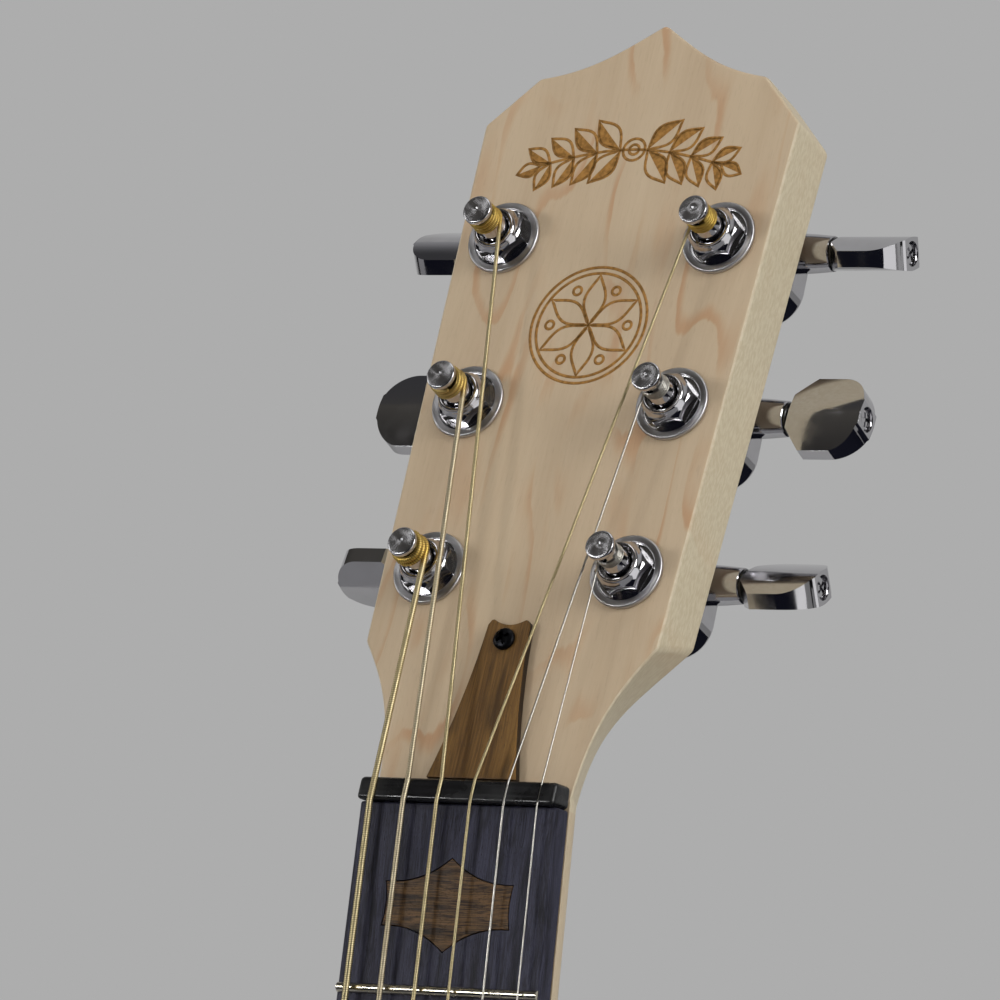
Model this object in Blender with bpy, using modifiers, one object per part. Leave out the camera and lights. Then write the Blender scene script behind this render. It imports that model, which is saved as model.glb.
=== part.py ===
"""Six-string banjo: a neck with six geared tuners on an open-backed pot.

Frame: metres, +Z up the neck, -Y the front, +X the treble side. The origin is the middle of the
fretboard's front surface at the nut, where the scale length starts.
"""
import math

import bmesh
import bpy
from mathutils import Matrix, Vector

MM = 0.001

# Clearances
SEAT = 0.2 * MM                    # between pieces that rest on or in one another
RUN = 0.25 * MM                    # round shafts that turn
END_PLAY = 0.3 * MM                # beside the wheel and past the post's foot

# Modelling allowances, none of which shows
PAST = 3 * MM                      # how far a cutter runs past the face it cuts
OVERLAP = 0.8 * MM                 # how far solids that are joined run into one another

# Scale, fretboard and nut
SCALE_LENGTH = 640 * MM
FRET_COUNT = 22
NUT_WIDTH = 43 * MM
WIDTH_AT_12 = 52.4 * MM
BOARD_THICKNESS = 4.6 * MM
BOARD_PAST_LAST_FRET = 7 * MM
FRET_WIDTH = 2.0 * MM
FRET_HEIGHT = 1.1 * MM
FRET_SINK = 0.6 * MM
FRET_END_INSET = 0.3 * MM
FRET_EDGE_SHARE = 0.35             # of its height, where its sides end and its crown starts
NUT_THICKNESS = 4.6 * MM
NUT_FRONT_HEIGHT = 2.1 * MM
NUT_BACK_HEIGHT = 1.1 * MM
NUT_SLOT_DEPTH = 0.5 * MM
NUT_EASE = 0.5 * MM

# Inlay between the nut and the first fret
INLAY_HALF_WIDTH = 13.8 * MM
INLAY_TOP = 10.5 * MM
INLAY_SHOULDER = 15.3 * MM
INLAY_FOOT = 23.6 * MM
INLAY_BOTTOM = 28.4 * MM
INLAY_DIP = 1.5 * MM
INLAY_DEPTH = 1.6 * MM

# Headstock: half outlines on its face and on its back, measured from the nut along its middle
HEAD_ANGLE = math.radians(14.6)
HEAD_BACKSET = 5.0 * MM            # where the face starts, behind the fretboard's surface
HEAD_RISE = 3.0 * MM               # and above the nut's front edge
HEAD_THICKNESS = 14 * MM
HEAD_SINK = 1.2 * MM               # how far its foot runs into the neck
THROAT_PAST_NUT = 0.1 * MM         # wider than the nut on each side
THROAT_HALF_WIDTH = NUT_WIDTH / 2 + THROAT_PAST_NUT
THROAT_BACK_INSET = 7 * MM         # its back is narrower on each side
THROAT_BACK_HALF_WIDTH = THROAT_HALF_WIDTH - THROAT_BACK_INSET
LOWER_CORNER = (32.2 * MM, 31.0 * MM)
LOWER_CORNER_BACK = (31.9 * MM, 36.8 * MM)
UPPER_CORNER = (35.1 * MM, 143.8 * MM)
SHOULDER = (25.3 * MM, 154.2 * MM)
APEX = 165.9 * MM
THROAT_PULLS = ((0.6 * MM, 14 * MM), (4.0 * MM, 21.5 * MM))            # across from the throat
THROAT_BACK_PULLS = ((-0.2 * MM, 20 * MM), (3.9 * MM, 22 * MM))
CROWN_PULLS = ((14 * MM, 155.8 * MM), (8 * MM, 160.5 * MM))

# Neck
NECK_DEPTH_NUT = 16.4 * MM
NECK_DEPTH_12 = 18.6 * MM
NECK_ROUNDNESS = 1.8
NECK_SIDE = 0.2 * MM               # flat below the fretboard's edge
NECK_FADE = (                      # up from the nut: rise, half width less, depth less
    (12 * MM, 5 * MM, 1.2 * MM), (6 * MM, 2 * MM, 0.3 * MM),
)
FADE_BEHIND_FACE = 1 * MM
HEEL_DEPTH = 54 * MM
HEEL_LENGTH = 62 * MM
HEEL_ROUNDNESS = 1.7
HEEL_PAST_JOINT = 4 * MM           # before the rim's round is cut out of it
ROD_CHANNEL_WIDTH = 7 * MM
ROD_CHANNEL_DEPTH = 10 * MM
ROD_CHANNEL_END = 20 * MM          # wood left between the channel and the rim
POCKET_WIDTH = 9.5 * MM
CHANNEL_IN_POCKET = 8 * MM
TONGUE_THICKNESS = 3 * MM          # wood under the fretboard's end, over the hoop
HOOP_ROOM = 0.5 * MM
POCKET_START = 4.2 * MM
POCKET_TOP = 26 * MM

# Truss rod and its cover
ROD_RADIUS = 2.6 * MM
ROD_NUT_RADIUS = 3.2 * MM
ROD_NUT_LENGTH = 9 * MM
ROD_TOP = 12 * MM                  # above the nut's front edge
ROD_END_GAP = 1 * MM
COVER_THICKNESS = 2.0 * MM
COVER_BASE = 2.0 * MM
COVER_TIP = 35.4 * MM
COVER_HALF_WIDTH_BASE = 9.8 * MM
COVER_HALF_WIDTH_TIP = 4.6 * MM
COVER_SIDE_DIP = 0.8 * MM
COVER_TOP_DIP = 1.1 * MM
COVER_HORN_WIDTH = 1.1 * MM
COVER_HORN_HEIGHT = 1.2 * MM
COVER_SCREW_UP = 31.0 * MM
SCREW_HEAD_RADIUS = 2.25 * MM
SCREW_HEAD_HEIGHT = 1.2 * MM
SCREW_RADIUS = 1.1 * MM
SCREW_LENGTH = 9 * MM
SCREW_POINT = 1.5 * MM
SCREW_DOME = ((0, 1), (0.6, 0.9), (1, 0.3))  # shares of its head's radius and height

# Tuners: place on the headstock as (half spacing, height), bottom row first
TUNER_ROWS = {"low": (21.7 * MM, 46.6 * MM), "mid": (22.6 * MM, 82.4 * MM), "top": (23.9 * MM, 118.3 * MM)}
POST_HEIGHT = 12.9 * MM
CAP_RADIUS = 3.0 * MM
CAP_HEIGHT = 1.5 * MM
WAIST_RADIUS = 2.2 * MM
WAIST_HEIGHT = 4.9 * MM
COLLAR_RADIUS = 3.2 * MM
POST_RADIUS = 2.7 * MM
STRING_HOLE_RADIUS = 0.85 * MM
STRING_HOLE_DROP = 1.4 * MM        # below the cap
WASHER_RADIUS = 7.7 * MM
WASHER_HEIGHT = 1.2 * MM
WASHER_DISH = 0.7 * MM
BUSH_ACROSS_FLATS = 10.2 * MM
BUSH_HEIGHT = 5.2 * MM
BUSH_SHOULDER = 0.6 * MM
BUSH_ROUND_HEIGHT = 1.2 * MM       # of its top, above the hexagon's flats
BUSH_SHANK_WALL = 0.85 * MM
BUSH_SHANK_LENGTH = 9 * MM
BARREL_WALL = 0.7 * MM
BARREL_GAP_TO_FACE = 3 * MM

# Worm and wheel inside each housing
WHEEL_TEETH = 12
WHEEL_RADIUS = 4.8 * MM
WHEEL_THICKNESS = 2.4 * MM
TOOTH_ADDENDUM = 0.45 * MM
TOOTH_DEDENDUM = 0.7 * MM
TOOTH_FOOT_SHARE = 0.31            # of the pitch, half a tooth's width at its foot and tip
TOOTH_TIP_SHARE = 0.13
WORM_RADIUS = 2.3 * MM
THREAD_ROOT_RADIUS = 1.7 * MM
THREAD_TIP_RADIUS = 2.75 * MM
THREAD_ROOT_WIDTH = 0.84 * MM
THREAD_TIP_WIDTH = 0.30 * MM
THREAD_TURNS = 2
THREAD_STEPS = 8                   # facets a turn
WORM_END_ROOM = 0.5 * MM
SHAFT_IN_WORM = 0.2 * MM
SHAFT_RADIUS = 1.6 * MM
SHAFT_BEHIND_HEAD = 6.0 * MM       # from the headstock's back to the shaft's axis

# Housing and button
HOUSING_RADIUS = 7.4 * MM
HOUSING_HALF_WIDTH = 7.0 * MM
HOUSING_WALL = 1.6 * MM
HOUSING_CORNER = 2.5 * MM
FERRULE_RADIUS = 4.0 * MM
FERRULE_END = 14.8 * MM            # from the post's axis
BUTTON_START = 15.4 * MM
BUTTON_LENGTH = 15.6 * MM
BUTTON_HALF_WIDTH = 8.3 * MM
BUTTON_NECK = 3.8 * MM
BUTTON_SHOULDER = 4.6 * MM         # how far its sloping shoulders reach along it
BUTTON_STRAIGHT_SHARE = 0.6        # of its length, where its round end starts
BUTTON_ROUNDNESS = 0.9
BUTTON_END_HALF = 2.6 * MM
BUTTON_THICKNESS = 6.6 * MM
BUTTON_EDGE_THICKNESS = 3.2 * MM   # it thins from the middle to the side edges
BUTTON_RIDGE = 3.0 * MM            # half the width of its full-thickness middle
BUTTON_SWELL = 0.35                # of its thinning, how much is done halfway out
BUTTON_BORE_SHARE = 0.55           # of its length, for the shaft
BUTTON_SCREW_RADIUS = 2.6 * MM
BUTTON_SCREW_HEIGHT = 0.6 * MM
BUTTON_TURN = {                    # degrees from the headstock's length towards its front
    "bass_low": 81.5, "bass_mid": -6.5, "bass_top": -43.5,
    "treble_low": -44.5, "treble_mid": -7.5, "treble_top": -55.5,
}

# Strings, bass to treble: name, diameter, tuner, turns round the post
STRINGS = (
    ("string_6", 1.07 * MM, "bass_low", 2.0),
    ("string_5", 0.91 * MM, "bass_mid", 2.3),
    ("string_4", 0.66 * MM, "bass_top", 2.9),
    ("string_3", 0.51 * MM, "treble_top", 3.3),
    ("string_2", 0.36 * MM, "treble_mid", 2.6),
    ("string_1", 0.28 * MM, "treble_low", 2.6),
)
STRING_SPAN_NUT = 36.2 * MM
STRING_SPAN_BRIDGE = 52 * MM
COIL_GAP = 0.43 * MM               # between neighbouring turns
COIL_LIFT = 0.3 * MM               # above the waist's foot
COIL_POINTS = 16                   # a turn

# Pot
RIM_RADIUS = 139.7 * MM
RIM_WALL = 12.7 * MM
RIM_DEPTH = 70 * MM
RIM_EDGE_SLOPE = 2.4 * MM
BRIDGE_FROM_CENTRE = 38 * MM       # from the pot's middle towards the tailpiece
HEAD_SURFACE = 10.3 * MM           # the drum head behind the fretboard's surface
SKIN = 0.5 * MM
SKIN_COLLAR = 10 * MM
SKIN_BEND = 1 * MM
SKIN_INNER_BEND = 0.7 * MM
BEAD_SLOPE = 0.4 * MM
FLESH_HOOP_WIDTH = 3 * MM
FLESH_HOOP_HEIGHT = 3.6 * MM
FLESH_HOOP_ROOM = 1 * MM
HOOP_WALL = 4.8 * MM
HOOP_PROUD = 2.0 * MM
HOOK_COUNT = 16
HOOK_GAP_AT_NECK = math.radians(28)
HOOK_RADIUS = 2.0 * MM
HOOK_OFF_HOOP = 0.7 * MM
HOOK_WIDTH = 5 * MM
HOOK_CLAW = 1.6 * MM
CLAW_FROM_HOOP_EDGE = 0.6 * MM
CLAW_PAST_HOOK = 0.3 * MM
HOOK_BELOW_CLAW = 0.4 * MM
HOOK_PAST_NUT = 1 * MM
JOIN = 0.3 * MM                    # how far the claw and nut run into the hoop and shoe
SHOE_TOP = 37 * MM
SHOE_HEIGHT = 8 * MM
SHOE_WIDTH = 11 * MM
SHOE_PAST_HOOK = 1.5 * MM
HOOK_NUT_RADIUS = 4.2 * MM
HOOK_NUT_LENGTH = 7 * MM
POT_SEGMENTS = 40
BOLT_DEPTH = 30 * MM               # the coordinator rod and its bolts behind the head's surface
BOLT_RADIUS = 3.0 * MM
BOLT_IN_ROD = 10 * MM
BOLT_IN_HEEL = 26 * MM
COORDINATOR_RADIUS = 5.5 * MM

# Bridge and tailpiece
BRIDGE_HEIGHT = 15.9 * MM
BRIDGE_WIDTH = 76 * MM
BRIDGE_TOP_WIDTH = 62 * MM
BRIDGE_THICKNESS = 5 * MM
BRIDGE_TOP_THICKNESS = 2.4 * MM
BRIDGE_ARCH_HEIGHT = 6.5 * MM
BRIDGE_ARCH_ROUNDNESS = 0.6
BRIDGE_SIDE = 3 * MM               # height of its upright ends
BRIDGE_MIDDLE_FOOT = 10 * MM
BRIDGE_OUTER_FOOT = 10 * MM
TAIL_LIP_FROM_RIM = 35.7 * MM      # from the lip that holds the strings out to the rim's face
TAIL_LIP_HEIGHT = 7 * MM
TAIL_LIP_LENGTH = 3.5 * MM
TAIL_WIDTH = 62 * MM
TAIL_FOOT_WIDTH = 26 * MM
TAIL_PLATE = 1.8 * MM
TAIL_RISE = 3.4 * MM               # the plate above the hoop
TAIL_OFF_HOOP = 4.5 * MM
TAIL_BEND = 5 * MM
TAIL_OUTER_BEND = 1.2 * MM
TAIL_STRING_SHARE = 0.4            # of the lip's height, where its string holes are
TAIL_SHOULDER = 9 * MM             # full width from the lip, then it narrows
TAIL_NARROW = 12 * MM              # narrow again this far before the foot
STRING_PAST_LIP = 3 * MM
END_HEAD_RADIUS = 5.5 * MM
END_HEAD_LENGTH = 4.5 * MM
SPACER_RADIUS = 6.5 * MM

# Derived places
BOARD_TAPER = (WIDTH_AT_12 - NUT_WIDTH) / SCALE_LENGTH
WORM_OFFSET = WHEEL_RADIUS + WORM_RADIUS
SHAFT_DEPTH = HEAD_THICKNESS + SHAFT_BEHIND_HEAD
POT_CENTRE = SCALE_LENGTH - BRIDGE_FROM_CENTRE
NECK_JOINT = POT_CENTRE - RIM_RADIUS
TAIL_LIP = RIM_RADIUS - TAIL_LIP_FROM_RIM
COLLAR_INNER = RIM_RADIUS + SEAT
COLLAR_OUTER = COLLAR_INNER + SKIN
HOOP_INNER = COLLAR_OUTER + SEAT
HOOP_OUTER = HOOP_INNER + HOOP_WALL
BORE_RADIUS = POST_RADIUS + RUN
SHANK_RADIUS = BORE_RADIUS + BUSH_SHANK_WALL
BARREL_BORE = SHANK_RADIUS + SEAT
BARREL_RADIUS = BARREL_BORE + BARREL_WALL
WAIST_TOP = POST_HEIGHT - CAP_HEIGHT
WAIST_BOTTOM = WAIST_TOP - WAIST_HEIGHT

HEADSTOCK = Matrix((
    (1, 0, 0, 0),
    (0, math.sin(HEAD_ANGLE), -math.cos(HEAD_ANGLE), HEAD_BACKSET),
    (0, math.cos(HEAD_ANGLE), math.sin(HEAD_ANGLE), HEAD_RISE),
    (0, 0, 0, 1),
))
POT = Matrix.Translation((0, HEAD_SURFACE, -POT_CENTRE)) @ Matrix.Rotation(math.pi / 2, 4, "X")


def clear_scene():
    for obj in list(bpy.data.objects):
        bpy.data.objects.remove(obj, do_unlink=True)


def new_collection(name):
    collection = bpy.data.collections.new(name)
    bpy.context.scene.collection.children.link(collection)
    return collection


def material(name, colour, roughness, metallic=0.0):
    mat = bpy.data.materials.new(name)
    mat.use_nodes = True
    shader = mat.node_tree.nodes["Principled BSDF"]
    shader.inputs["Base Color"].default_value = (*colour, 1)
    shader.inputs["Roughness"].default_value = roughness
    shader.inputs["Metallic"].default_value = metallic
    return mat


def link(name, data, collection, matrix=None):
    obj = bpy.data.objects.new(name, data)
    collection.objects.link(obj)
    if matrix is not None:
        obj.matrix_world = matrix
    return obj


def part(name, mesh, mat, matrix=None, parent=None):
    obj = link(name, mesh, PARTS)
    if not mesh.materials:
        mesh.materials.append(mat)
    if parent is not None:
        obj.parent = parent
    if matrix is not None:
        obj.matrix_local = matrix
    return obj


def joint_empty(name, matrix):
    return link(name, None, PARTS, matrix)


def bake(obj):
    """The evaluated mesh of an object, in its own frame; the object goes."""
    bpy.context.view_layer.update()
    graph = bpy.context.evaluated_depsgraph_get()
    mesh = bpy.data.meshes.new_from_object(obj.evaluated_get(graph))
    bpy.data.objects.remove(obj, do_unlink=True)
    return mesh


def welded(mesh, distance=0.00001):
    bm = bmesh.new()
    bm.from_mesh(mesh)
    bmesh.ops.remove_doubles(bm, verts=bm.verts, dist=distance)
    bmesh.ops.recalc_face_normals(bm, faces=bm.faces)
    bm.to_mesh(mesh)
    bm.free()
    return mesh


def moved(mesh, matrix):
    mesh.transform(matrix)
    if matrix.determinant() < 0:
        mesh.flip_normals()
    return mesh


def combine(mesh, others, operation):
    """A mesh joined with, or cut by, each of the others, all in one frame."""
    obj = link("work", mesh, CUTTERS)
    tools = [link("tool", other, CUTTERS) for other in others]
    for tool in tools:
        tool.hide_render = True
        tool.display_type = "WIRE"
        modifier = obj.modifiers.new("Boolean", "BOOLEAN")
        modifier.operation = operation
        modifier.solver = "EXACT"
        modifier.object = tool
    result = welded(bake(obj), 0.000002)
    for tool in tools:
        bpy.data.objects.remove(tool, do_unlink=True)
    return result


def union(mesh, *others):
    return combine(mesh, others, "UNION")


def difference(mesh, *others):
    return combine(mesh, others, "DIFFERENCE")


def box(low, high):
    bm = bmesh.new()
    bmesh.ops.create_cube(bm, size=1)
    size = Vector(high) - Vector(low)
    centre = (Vector(high) + Vector(low)) / 2
    bmesh.ops.scale(bm, vec=size, verts=bm.verts)
    bmesh.ops.translate(bm, vec=centre, verts=bm.verts)
    mesh = bpy.data.meshes.new("box")
    bm.to_mesh(mesh)
    bm.free()
    return mesh


def cylinder(radius, low, high, sides, axis="Z", turn=0.0):
    """A cylinder along an axis, between two places on it."""
    bm = bmesh.new()
    spin = Matrix.Rotation(turn, 4, "Z")
    bmesh.ops.create_cone(
        bm, cap_ends=True, segments=sides, radius1=radius, radius2=radius, depth=high - low,
        matrix=Matrix.Translation((0, 0, (low + high) / 2)) @ spin)
    mesh = bpy.data.meshes.new("cylinder")
    bm.to_mesh(mesh)
    bm.free()
    if axis == "X":
        mesh.transform(Matrix.Rotation(math.pi / 2, 4, "Y"))
    if axis == "Y":
        mesh.transform(Matrix.Rotation(-math.pi / 2, 4, "X"))
    return mesh


def turned(profile, steps, closed=True):
    """A profile of (radius, height) turned about Z, outer side first, top to bottom."""
    mesh = bpy.data.meshes.new("turned")
    points = [(radius, 0, height) for radius, height in profile]
    edges = [(i, i + 1) for i in range(len(points) - 1)]
    if closed:
        edges.append((len(points) - 1, 0))
    mesh.from_pydata(points, edges, [])
    obj = link("turned", mesh, CUTTERS)
    screw = obj.modifiers.new("Screw", "SCREW")
    screw.axis = "Z"
    screw.steps = steps
    screw.render_steps = steps
    screw.use_merge_vertices = True
    screw.merge_threshold = 0.00001
    screw.use_smooth_shade = False
    return welded(bake(obj))


def plate(outline, low, high):
    """A flat outline of (x, y) made solid between two heights."""
    curve = bpy.data.curves.new("plate", "CURVE")
    curve.dimensions = "2D"
    curve.fill_mode = "BOTH"
    curve.extrude = (high - low) / 2
    spline = curve.splines.new("POLY")
    spline.points.add(len(outline) - 1)
    for point, (x, y) in zip(spline.points, outline):
        point.co = (x, y, 0, 1)
    spline.use_cyclic_u = True
    mesh = welded(bake(link("plate", curve, CUTTERS)))
    return moved(mesh, Matrix.Translation((0, 0, (low + high) / 2)))


def tube(points, radius, resolution):
    curve = bpy.data.curves.new("tube", "CURVE")
    curve.dimensions = "3D"
    curve.bevel_depth = radius
    curve.bevel_resolution = resolution
    curve.use_fill_caps = True
    spline = curve.splines.new("POLY")
    spline.points.add(len(points) - 1)
    for point, place in zip(spline.points, points):
        point.co = (*place, 1)
    return welded(bake(link("tube", curve, CUTTERS)))


def loft(rings):
    """A solid through rings of as many points each; its ends are flat faces."""
    bm = bmesh.new()
    rows = [[bm.verts.new(point) for point in ring] for ring in rings]
    for lower, upper in zip(rows, rows[1:]):
        for i in range(len(lower)):
            j = (i + 1) % len(lower)
            bm.faces.new((lower[i], lower[j], upper[j], upper[i]))
    bm.faces.new(list(reversed(rows[0])))
    bm.faces.new(rows[-1])
    bmesh.ops.recalc_face_normals(bm, faces=bm.faces)
    mesh = bpy.data.meshes.new("loft")
    bm.to_mesh(mesh)
    bm.free()
    return mesh


def bezier(start, pull_start, pull_end, end, count):
    """Points along a cubic curve, without its last one."""
    points = []
    for i in range(count):
        t = i / count
        weights = ((1 - t) ** 3, 3 * t * (1 - t) ** 2, 3 * t * t * (1 - t), t ** 3)
        places = (start, pull_start, pull_end, end)
        points.append(tuple(sum(w * p[k] for w, p in zip(weights, places)) for k in (0, 1)))
    return points


def mirrored_outline(half):
    """A half outline from the foot up to the middle, closed with its mirror image."""
    other = [(-x, y) for x, y in reversed(half) if x > 0]
    return half + other


def half_width(down):
    """Half the fretboard's width at a distance down from the nut."""
    return (NUT_WIDTH + BOARD_TAPER * 2 * down) / 2


def fret_place(number):
    return SCALE_LENGTH * (1 - 2 ** (-number / 12))


def head_outline(throat_half, corner, pull_start, pull_end, level):
    pulls = [(throat_half + across, up) for across, up in (pull_start, pull_end)]
    throat = bezier((throat_half, -HEAD_SINK), *pulls, corner, 8)
    crown = bezier(SHOULDER, *CROWN_PULLS, (0, APEX), 7)
    half = throat + [corner, UPPER_CORNER] + crown + [(0, APEX)]
    return [(x, y, level) for x, y in mirrored_outline(half)]


def neck_ring(place, top, half, depth, roundness, sides=12):
    """One cross section of the neck: flat in front, a rounded back."""
    ring = [(-half, top, place)]
    for i in range(sides + 1):
        angle = math.pi * i / sides
        across = -math.cos(angle)
        back = math.sin(angle)
        x = half * math.copysign(abs(across) ** (2 / roundness), across)
        ring.append((x, top + NECK_SIDE + (depth - NECK_SIDE) * back ** (2 / roundness), place))
    ring.append((half, top, place))
    return ring


def make_neck():
    front = head_outline(THROAT_HALF_WIDTH, LOWER_CORNER, *THROAT_PULLS, 0)
    back = head_outline(THROAT_BACK_HALF_WIDTH, LOWER_CORNER_BACK, *THROAT_BACK_PULLS, -HEAD_THICKNESS)
    head = moved(loft([front, back]), HEADSTOCK)

    rings = []
    for rise, narrow, shallow in NECK_FADE:
        top = HEAD_BACKSET + (rise - HEAD_RISE) * math.tan(HEAD_ANGLE) + FADE_BEHIND_FACE
        depth = BOARD_THICKNESS + NECK_DEPTH_NUT - shallow - top
        rings.append(neck_ring(rise, top, NUT_WIDTH / 2 - narrow, depth, NECK_ROUNDNESS))
    rings.append(neck_ring(HEAD_RISE / 2, BOARD_THICKNESS, NUT_WIDTH / 2, NECK_DEPTH_NUT, NECK_ROUNDNESS))
    heel_start = NECK_JOINT - HEEL_LENGTH
    growth = (NECK_DEPTH_12 - NECK_DEPTH_NUT) / (SCALE_LENGTH / 2)
    heel_end = NECK_JOINT + HEEL_PAST_JOINT
    stations = [0, heel_start / 2, heel_start]
    stations += [heel_start + (heel_end - heel_start) * i / 8 for i in range(1, 9)]
    for down in stations:
        depth = NECK_DEPTH_NUT + growth * down
        roundness = NECK_ROUNDNESS
        if down > heel_start:
            share = (down - heel_start) / (heel_end - heel_start)
            swell = share * share * (3 - 2 * share)
            depth += (HEEL_DEPTH - depth) * swell
            roundness += (HEEL_ROUNDNESS - NECK_ROUNDNESS) * swell
        rings.append(neck_ring(-down, BOARD_THICKNESS, half_width(down), depth, roundness))
    neck = union(loft(rings), head)

    hoop_cut_front = HEAD_SURFACE - BOARD_THICKNESS - TONGUE_THICKNESS
    hoop_cut_back = -(SKIN_COLLAR + FLESH_HOOP_HEIGHT + FLESH_HOOP_ROOM)
    hoop_cut = cylinder(HOOP_OUTER + HOOP_ROOM, hoop_cut_back, hoop_cut_front, 64)
    rim_cut = cylinder(RIM_RADIUS + SEAT, -RIM_DEPTH - PAST, -SKIN_COLLAR, 64)
    cuts = [moved(hoop_cut, POT), moved(rim_cut, POT)]
    channel_end = NECK_JOINT - ROD_CHANNEL_END
    cuts.append(box(
        (-ROD_CHANNEL_WIDTH / 2, BOARD_THICKNESS - PAST, -channel_end),
        (ROD_CHANNEL_WIDTH / 2, BOARD_THICKNESS + ROD_CHANNEL_DEPTH, HEAD_RISE + CHANNEL_IN_POCKET)))
    pocket = box((-POCKET_WIDTH / 2, POCKET_START, -ROD_CHANNEL_DEPTH), (POCKET_WIDTH / 2, POCKET_TOP, PAST))
    cuts.append(moved(pocket, HEADSTOCK))
    screw_hole = cylinder(SCREW_RADIUS + SEAT, -SCREW_LENGTH - SEAT, PAST, 12)
    cuts.append(moved(screw_hole, HEADSTOCK @ Matrix.Translation((0, COVER_SCREW_UP, 0))))
    for across, up in tuner_places().values():
        hole = cylinder(BARREL_RADIUS + SEAT, -HEAD_THICKNESS - PAST, PAST, 12)
        cuts.append(moved(hole, HEADSTOCK @ Matrix.Translation((across, up, 0))))
    bolt_hole = cylinder(BOLT_RADIUS + SEAT, RIM_RADIUS - PAST, RIM_RADIUS + BOLT_IN_HEEL + SEAT, 16, "Y")
    cuts.append(moved(bolt_hole, POT @ Matrix.Translation((0, 0, -BOLT_DEPTH))))
    return part("neck", difference(neck, *cuts), MAPLE)


def inlay_outline(grow=0.0):
    """The first-position inlay: a diamond with square sides and hollow edges."""
    wide = INLAY_HALF_WIDTH + grow
    top = INLAY_TOP - grow
    bottom = INLAY_BOTTOM + grow
    shoulder = INLAY_SHOULDER - grow
    foot = INLAY_FOOT + grow
    corners = [(0, top), (wide, shoulder), (wide, foot), (0, bottom), (-wide, foot), (-wide, shoulder)]
    dips = (INLAY_DIP, INLAY_DIP / 3, INLAY_DIP, INLAY_DIP, INLAY_DIP / 3, INLAY_DIP)
    middle = Vector((0, (top + bottom) / 2))
    outline = []
    for i, dip in enumerate(dips):
        start = Vector(corners[i])
        end = Vector(corners[(i + 1) % 6])
        inward = Vector((start.y - end.y, end.x - start.x)).normalized()
        if inward.dot(middle - start) < 0:
            inward = -inward
        for k in range(4):
            t = k / 4
            place = start.lerp(end, t) + inward * dip * 4 * t * (1 - t)
            outline.append((place.x, place.y))
    return outline


def make_fretboard():
    end = fret_place(FRET_COUNT) + BOARD_PAST_LAST_FRET
    outline = [(-half_width(0), 0), (half_width(0), 0), (half_width(end), -end), (-half_width(end), -end)]
    lay = Matrix.Rotation(math.pi / 2, 4, "X")
    board = moved(plate(outline, -BOARD_THICKNESS + SEAT, 0), lay)
    frets = []
    for number in range(1, FRET_COUNT + 1):
        down = fret_place(number)
        half = half_width(down) - FRET_END_INSET
        crown = [(-FRET_WIDTH / 2, -FRET_SINK), (-FRET_WIDTH / 2, FRET_EDGE_SHARE * FRET_HEIGHT)]
        crown.append((-FRET_WIDTH / 4, FRET_HEIGHT))
        crown += [(-x, y) for x, y in reversed(crown)]
        fret = plate(crown, -half, half)
        stand = Matrix(((0, 0, 1, 0), (0, -1, 0, 0), (-1, 0, 0, -down), (0, 0, 0, 1)))
        frets.append(moved(fret, stand))
    board = union(board, *frets)
    pocket = [(x, -y) for x, y in inlay_outline(SEAT)]
    cut = moved(plate(pocket, -INLAY_DEPTH - SEAT, PAST), lay)
    part("fretboard", difference(board, cut), BOARD)
    flat = [(x, -y) for x, y in inlay_outline()]
    part("first_position_inlay", moved(plate(flat, -INLAY_DEPTH, 0), lay), WALNUT)


def nut_top(up):
    """The nut's height above the fretboard at a place up from its front edge."""
    return NUT_FRONT_HEIGHT + (NUT_BACK_HEIGHT - NUT_FRONT_HEIGHT) * up / NUT_THICKNESS


def string_across(number, span):
    return -span / 2 + span * number / (len(STRINGS) - 1)


def string_over_nut(number, up):
    """The string's height above the fretboard where it crosses the nut."""
    return nut_top(up) - NUT_SLOT_DEPTH + SEAT + STRINGS[number][1] / 2


def make_nut():
    side = [
        (SEAT, -BOARD_THICKNESS + SEAT), (NUT_THICKNESS, -BOARD_THICKNESS + SEAT),
        (NUT_THICKNESS, NUT_BACK_HEIGHT), (SEAT + NUT_EASE, NUT_FRONT_HEIGHT),
        (SEAT, NUT_FRONT_HEIGHT - NUT_EASE),
    ]
    stand = Matrix(((0, 0, 1, 0), (0, -1, 0, 0), (1, 0, 0, 0), (0, 0, 0, 1)))
    nut = moved(plate(side, -NUT_WIDTH / 2, NUT_WIDTH / 2), stand)
    slots = []
    for number, (_, diameter, _, _) in enumerate(STRINGS):
        width = diameter + 2 * SEAT
        across = string_across(number, STRING_SPAN_NUT)
        before = -PAST
        after = NUT_THICKNESS + PAST
        floor = [
            (before, nut_top(before) - NUT_SLOT_DEPTH), (after, nut_top(after) - NUT_SLOT_DEPTH),
            (after, NUT_FRONT_HEIGHT + PAST), (before, NUT_FRONT_HEIGHT + PAST),
        ]
        slots.append(moved(plate(floor, across - width / 2, across + width / 2), stand))
    part("nut", difference(nut, *slots), BLACK)


def make_truss_rod():
    depth = BOARD_THICKNESS + ROD_CHANNEL_DEPTH - ROD_NUT_RADIUS - SEAT
    low = -(NECK_JOINT - ROD_CHANNEL_END - ROD_END_GAP)
    rod = cylinder(ROD_RADIUS, low, ROD_TOP - ROD_NUT_LENGTH + OVERLAP, 10)
    nut = cylinder(ROD_NUT_RADIUS, ROD_TOP - ROD_NUT_LENGTH, ROD_TOP, 6)
    lift = Matrix.Translation((0, depth, 0))
    part("truss_rod", moved(union(rod, nut), lift), STEEL)


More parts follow.
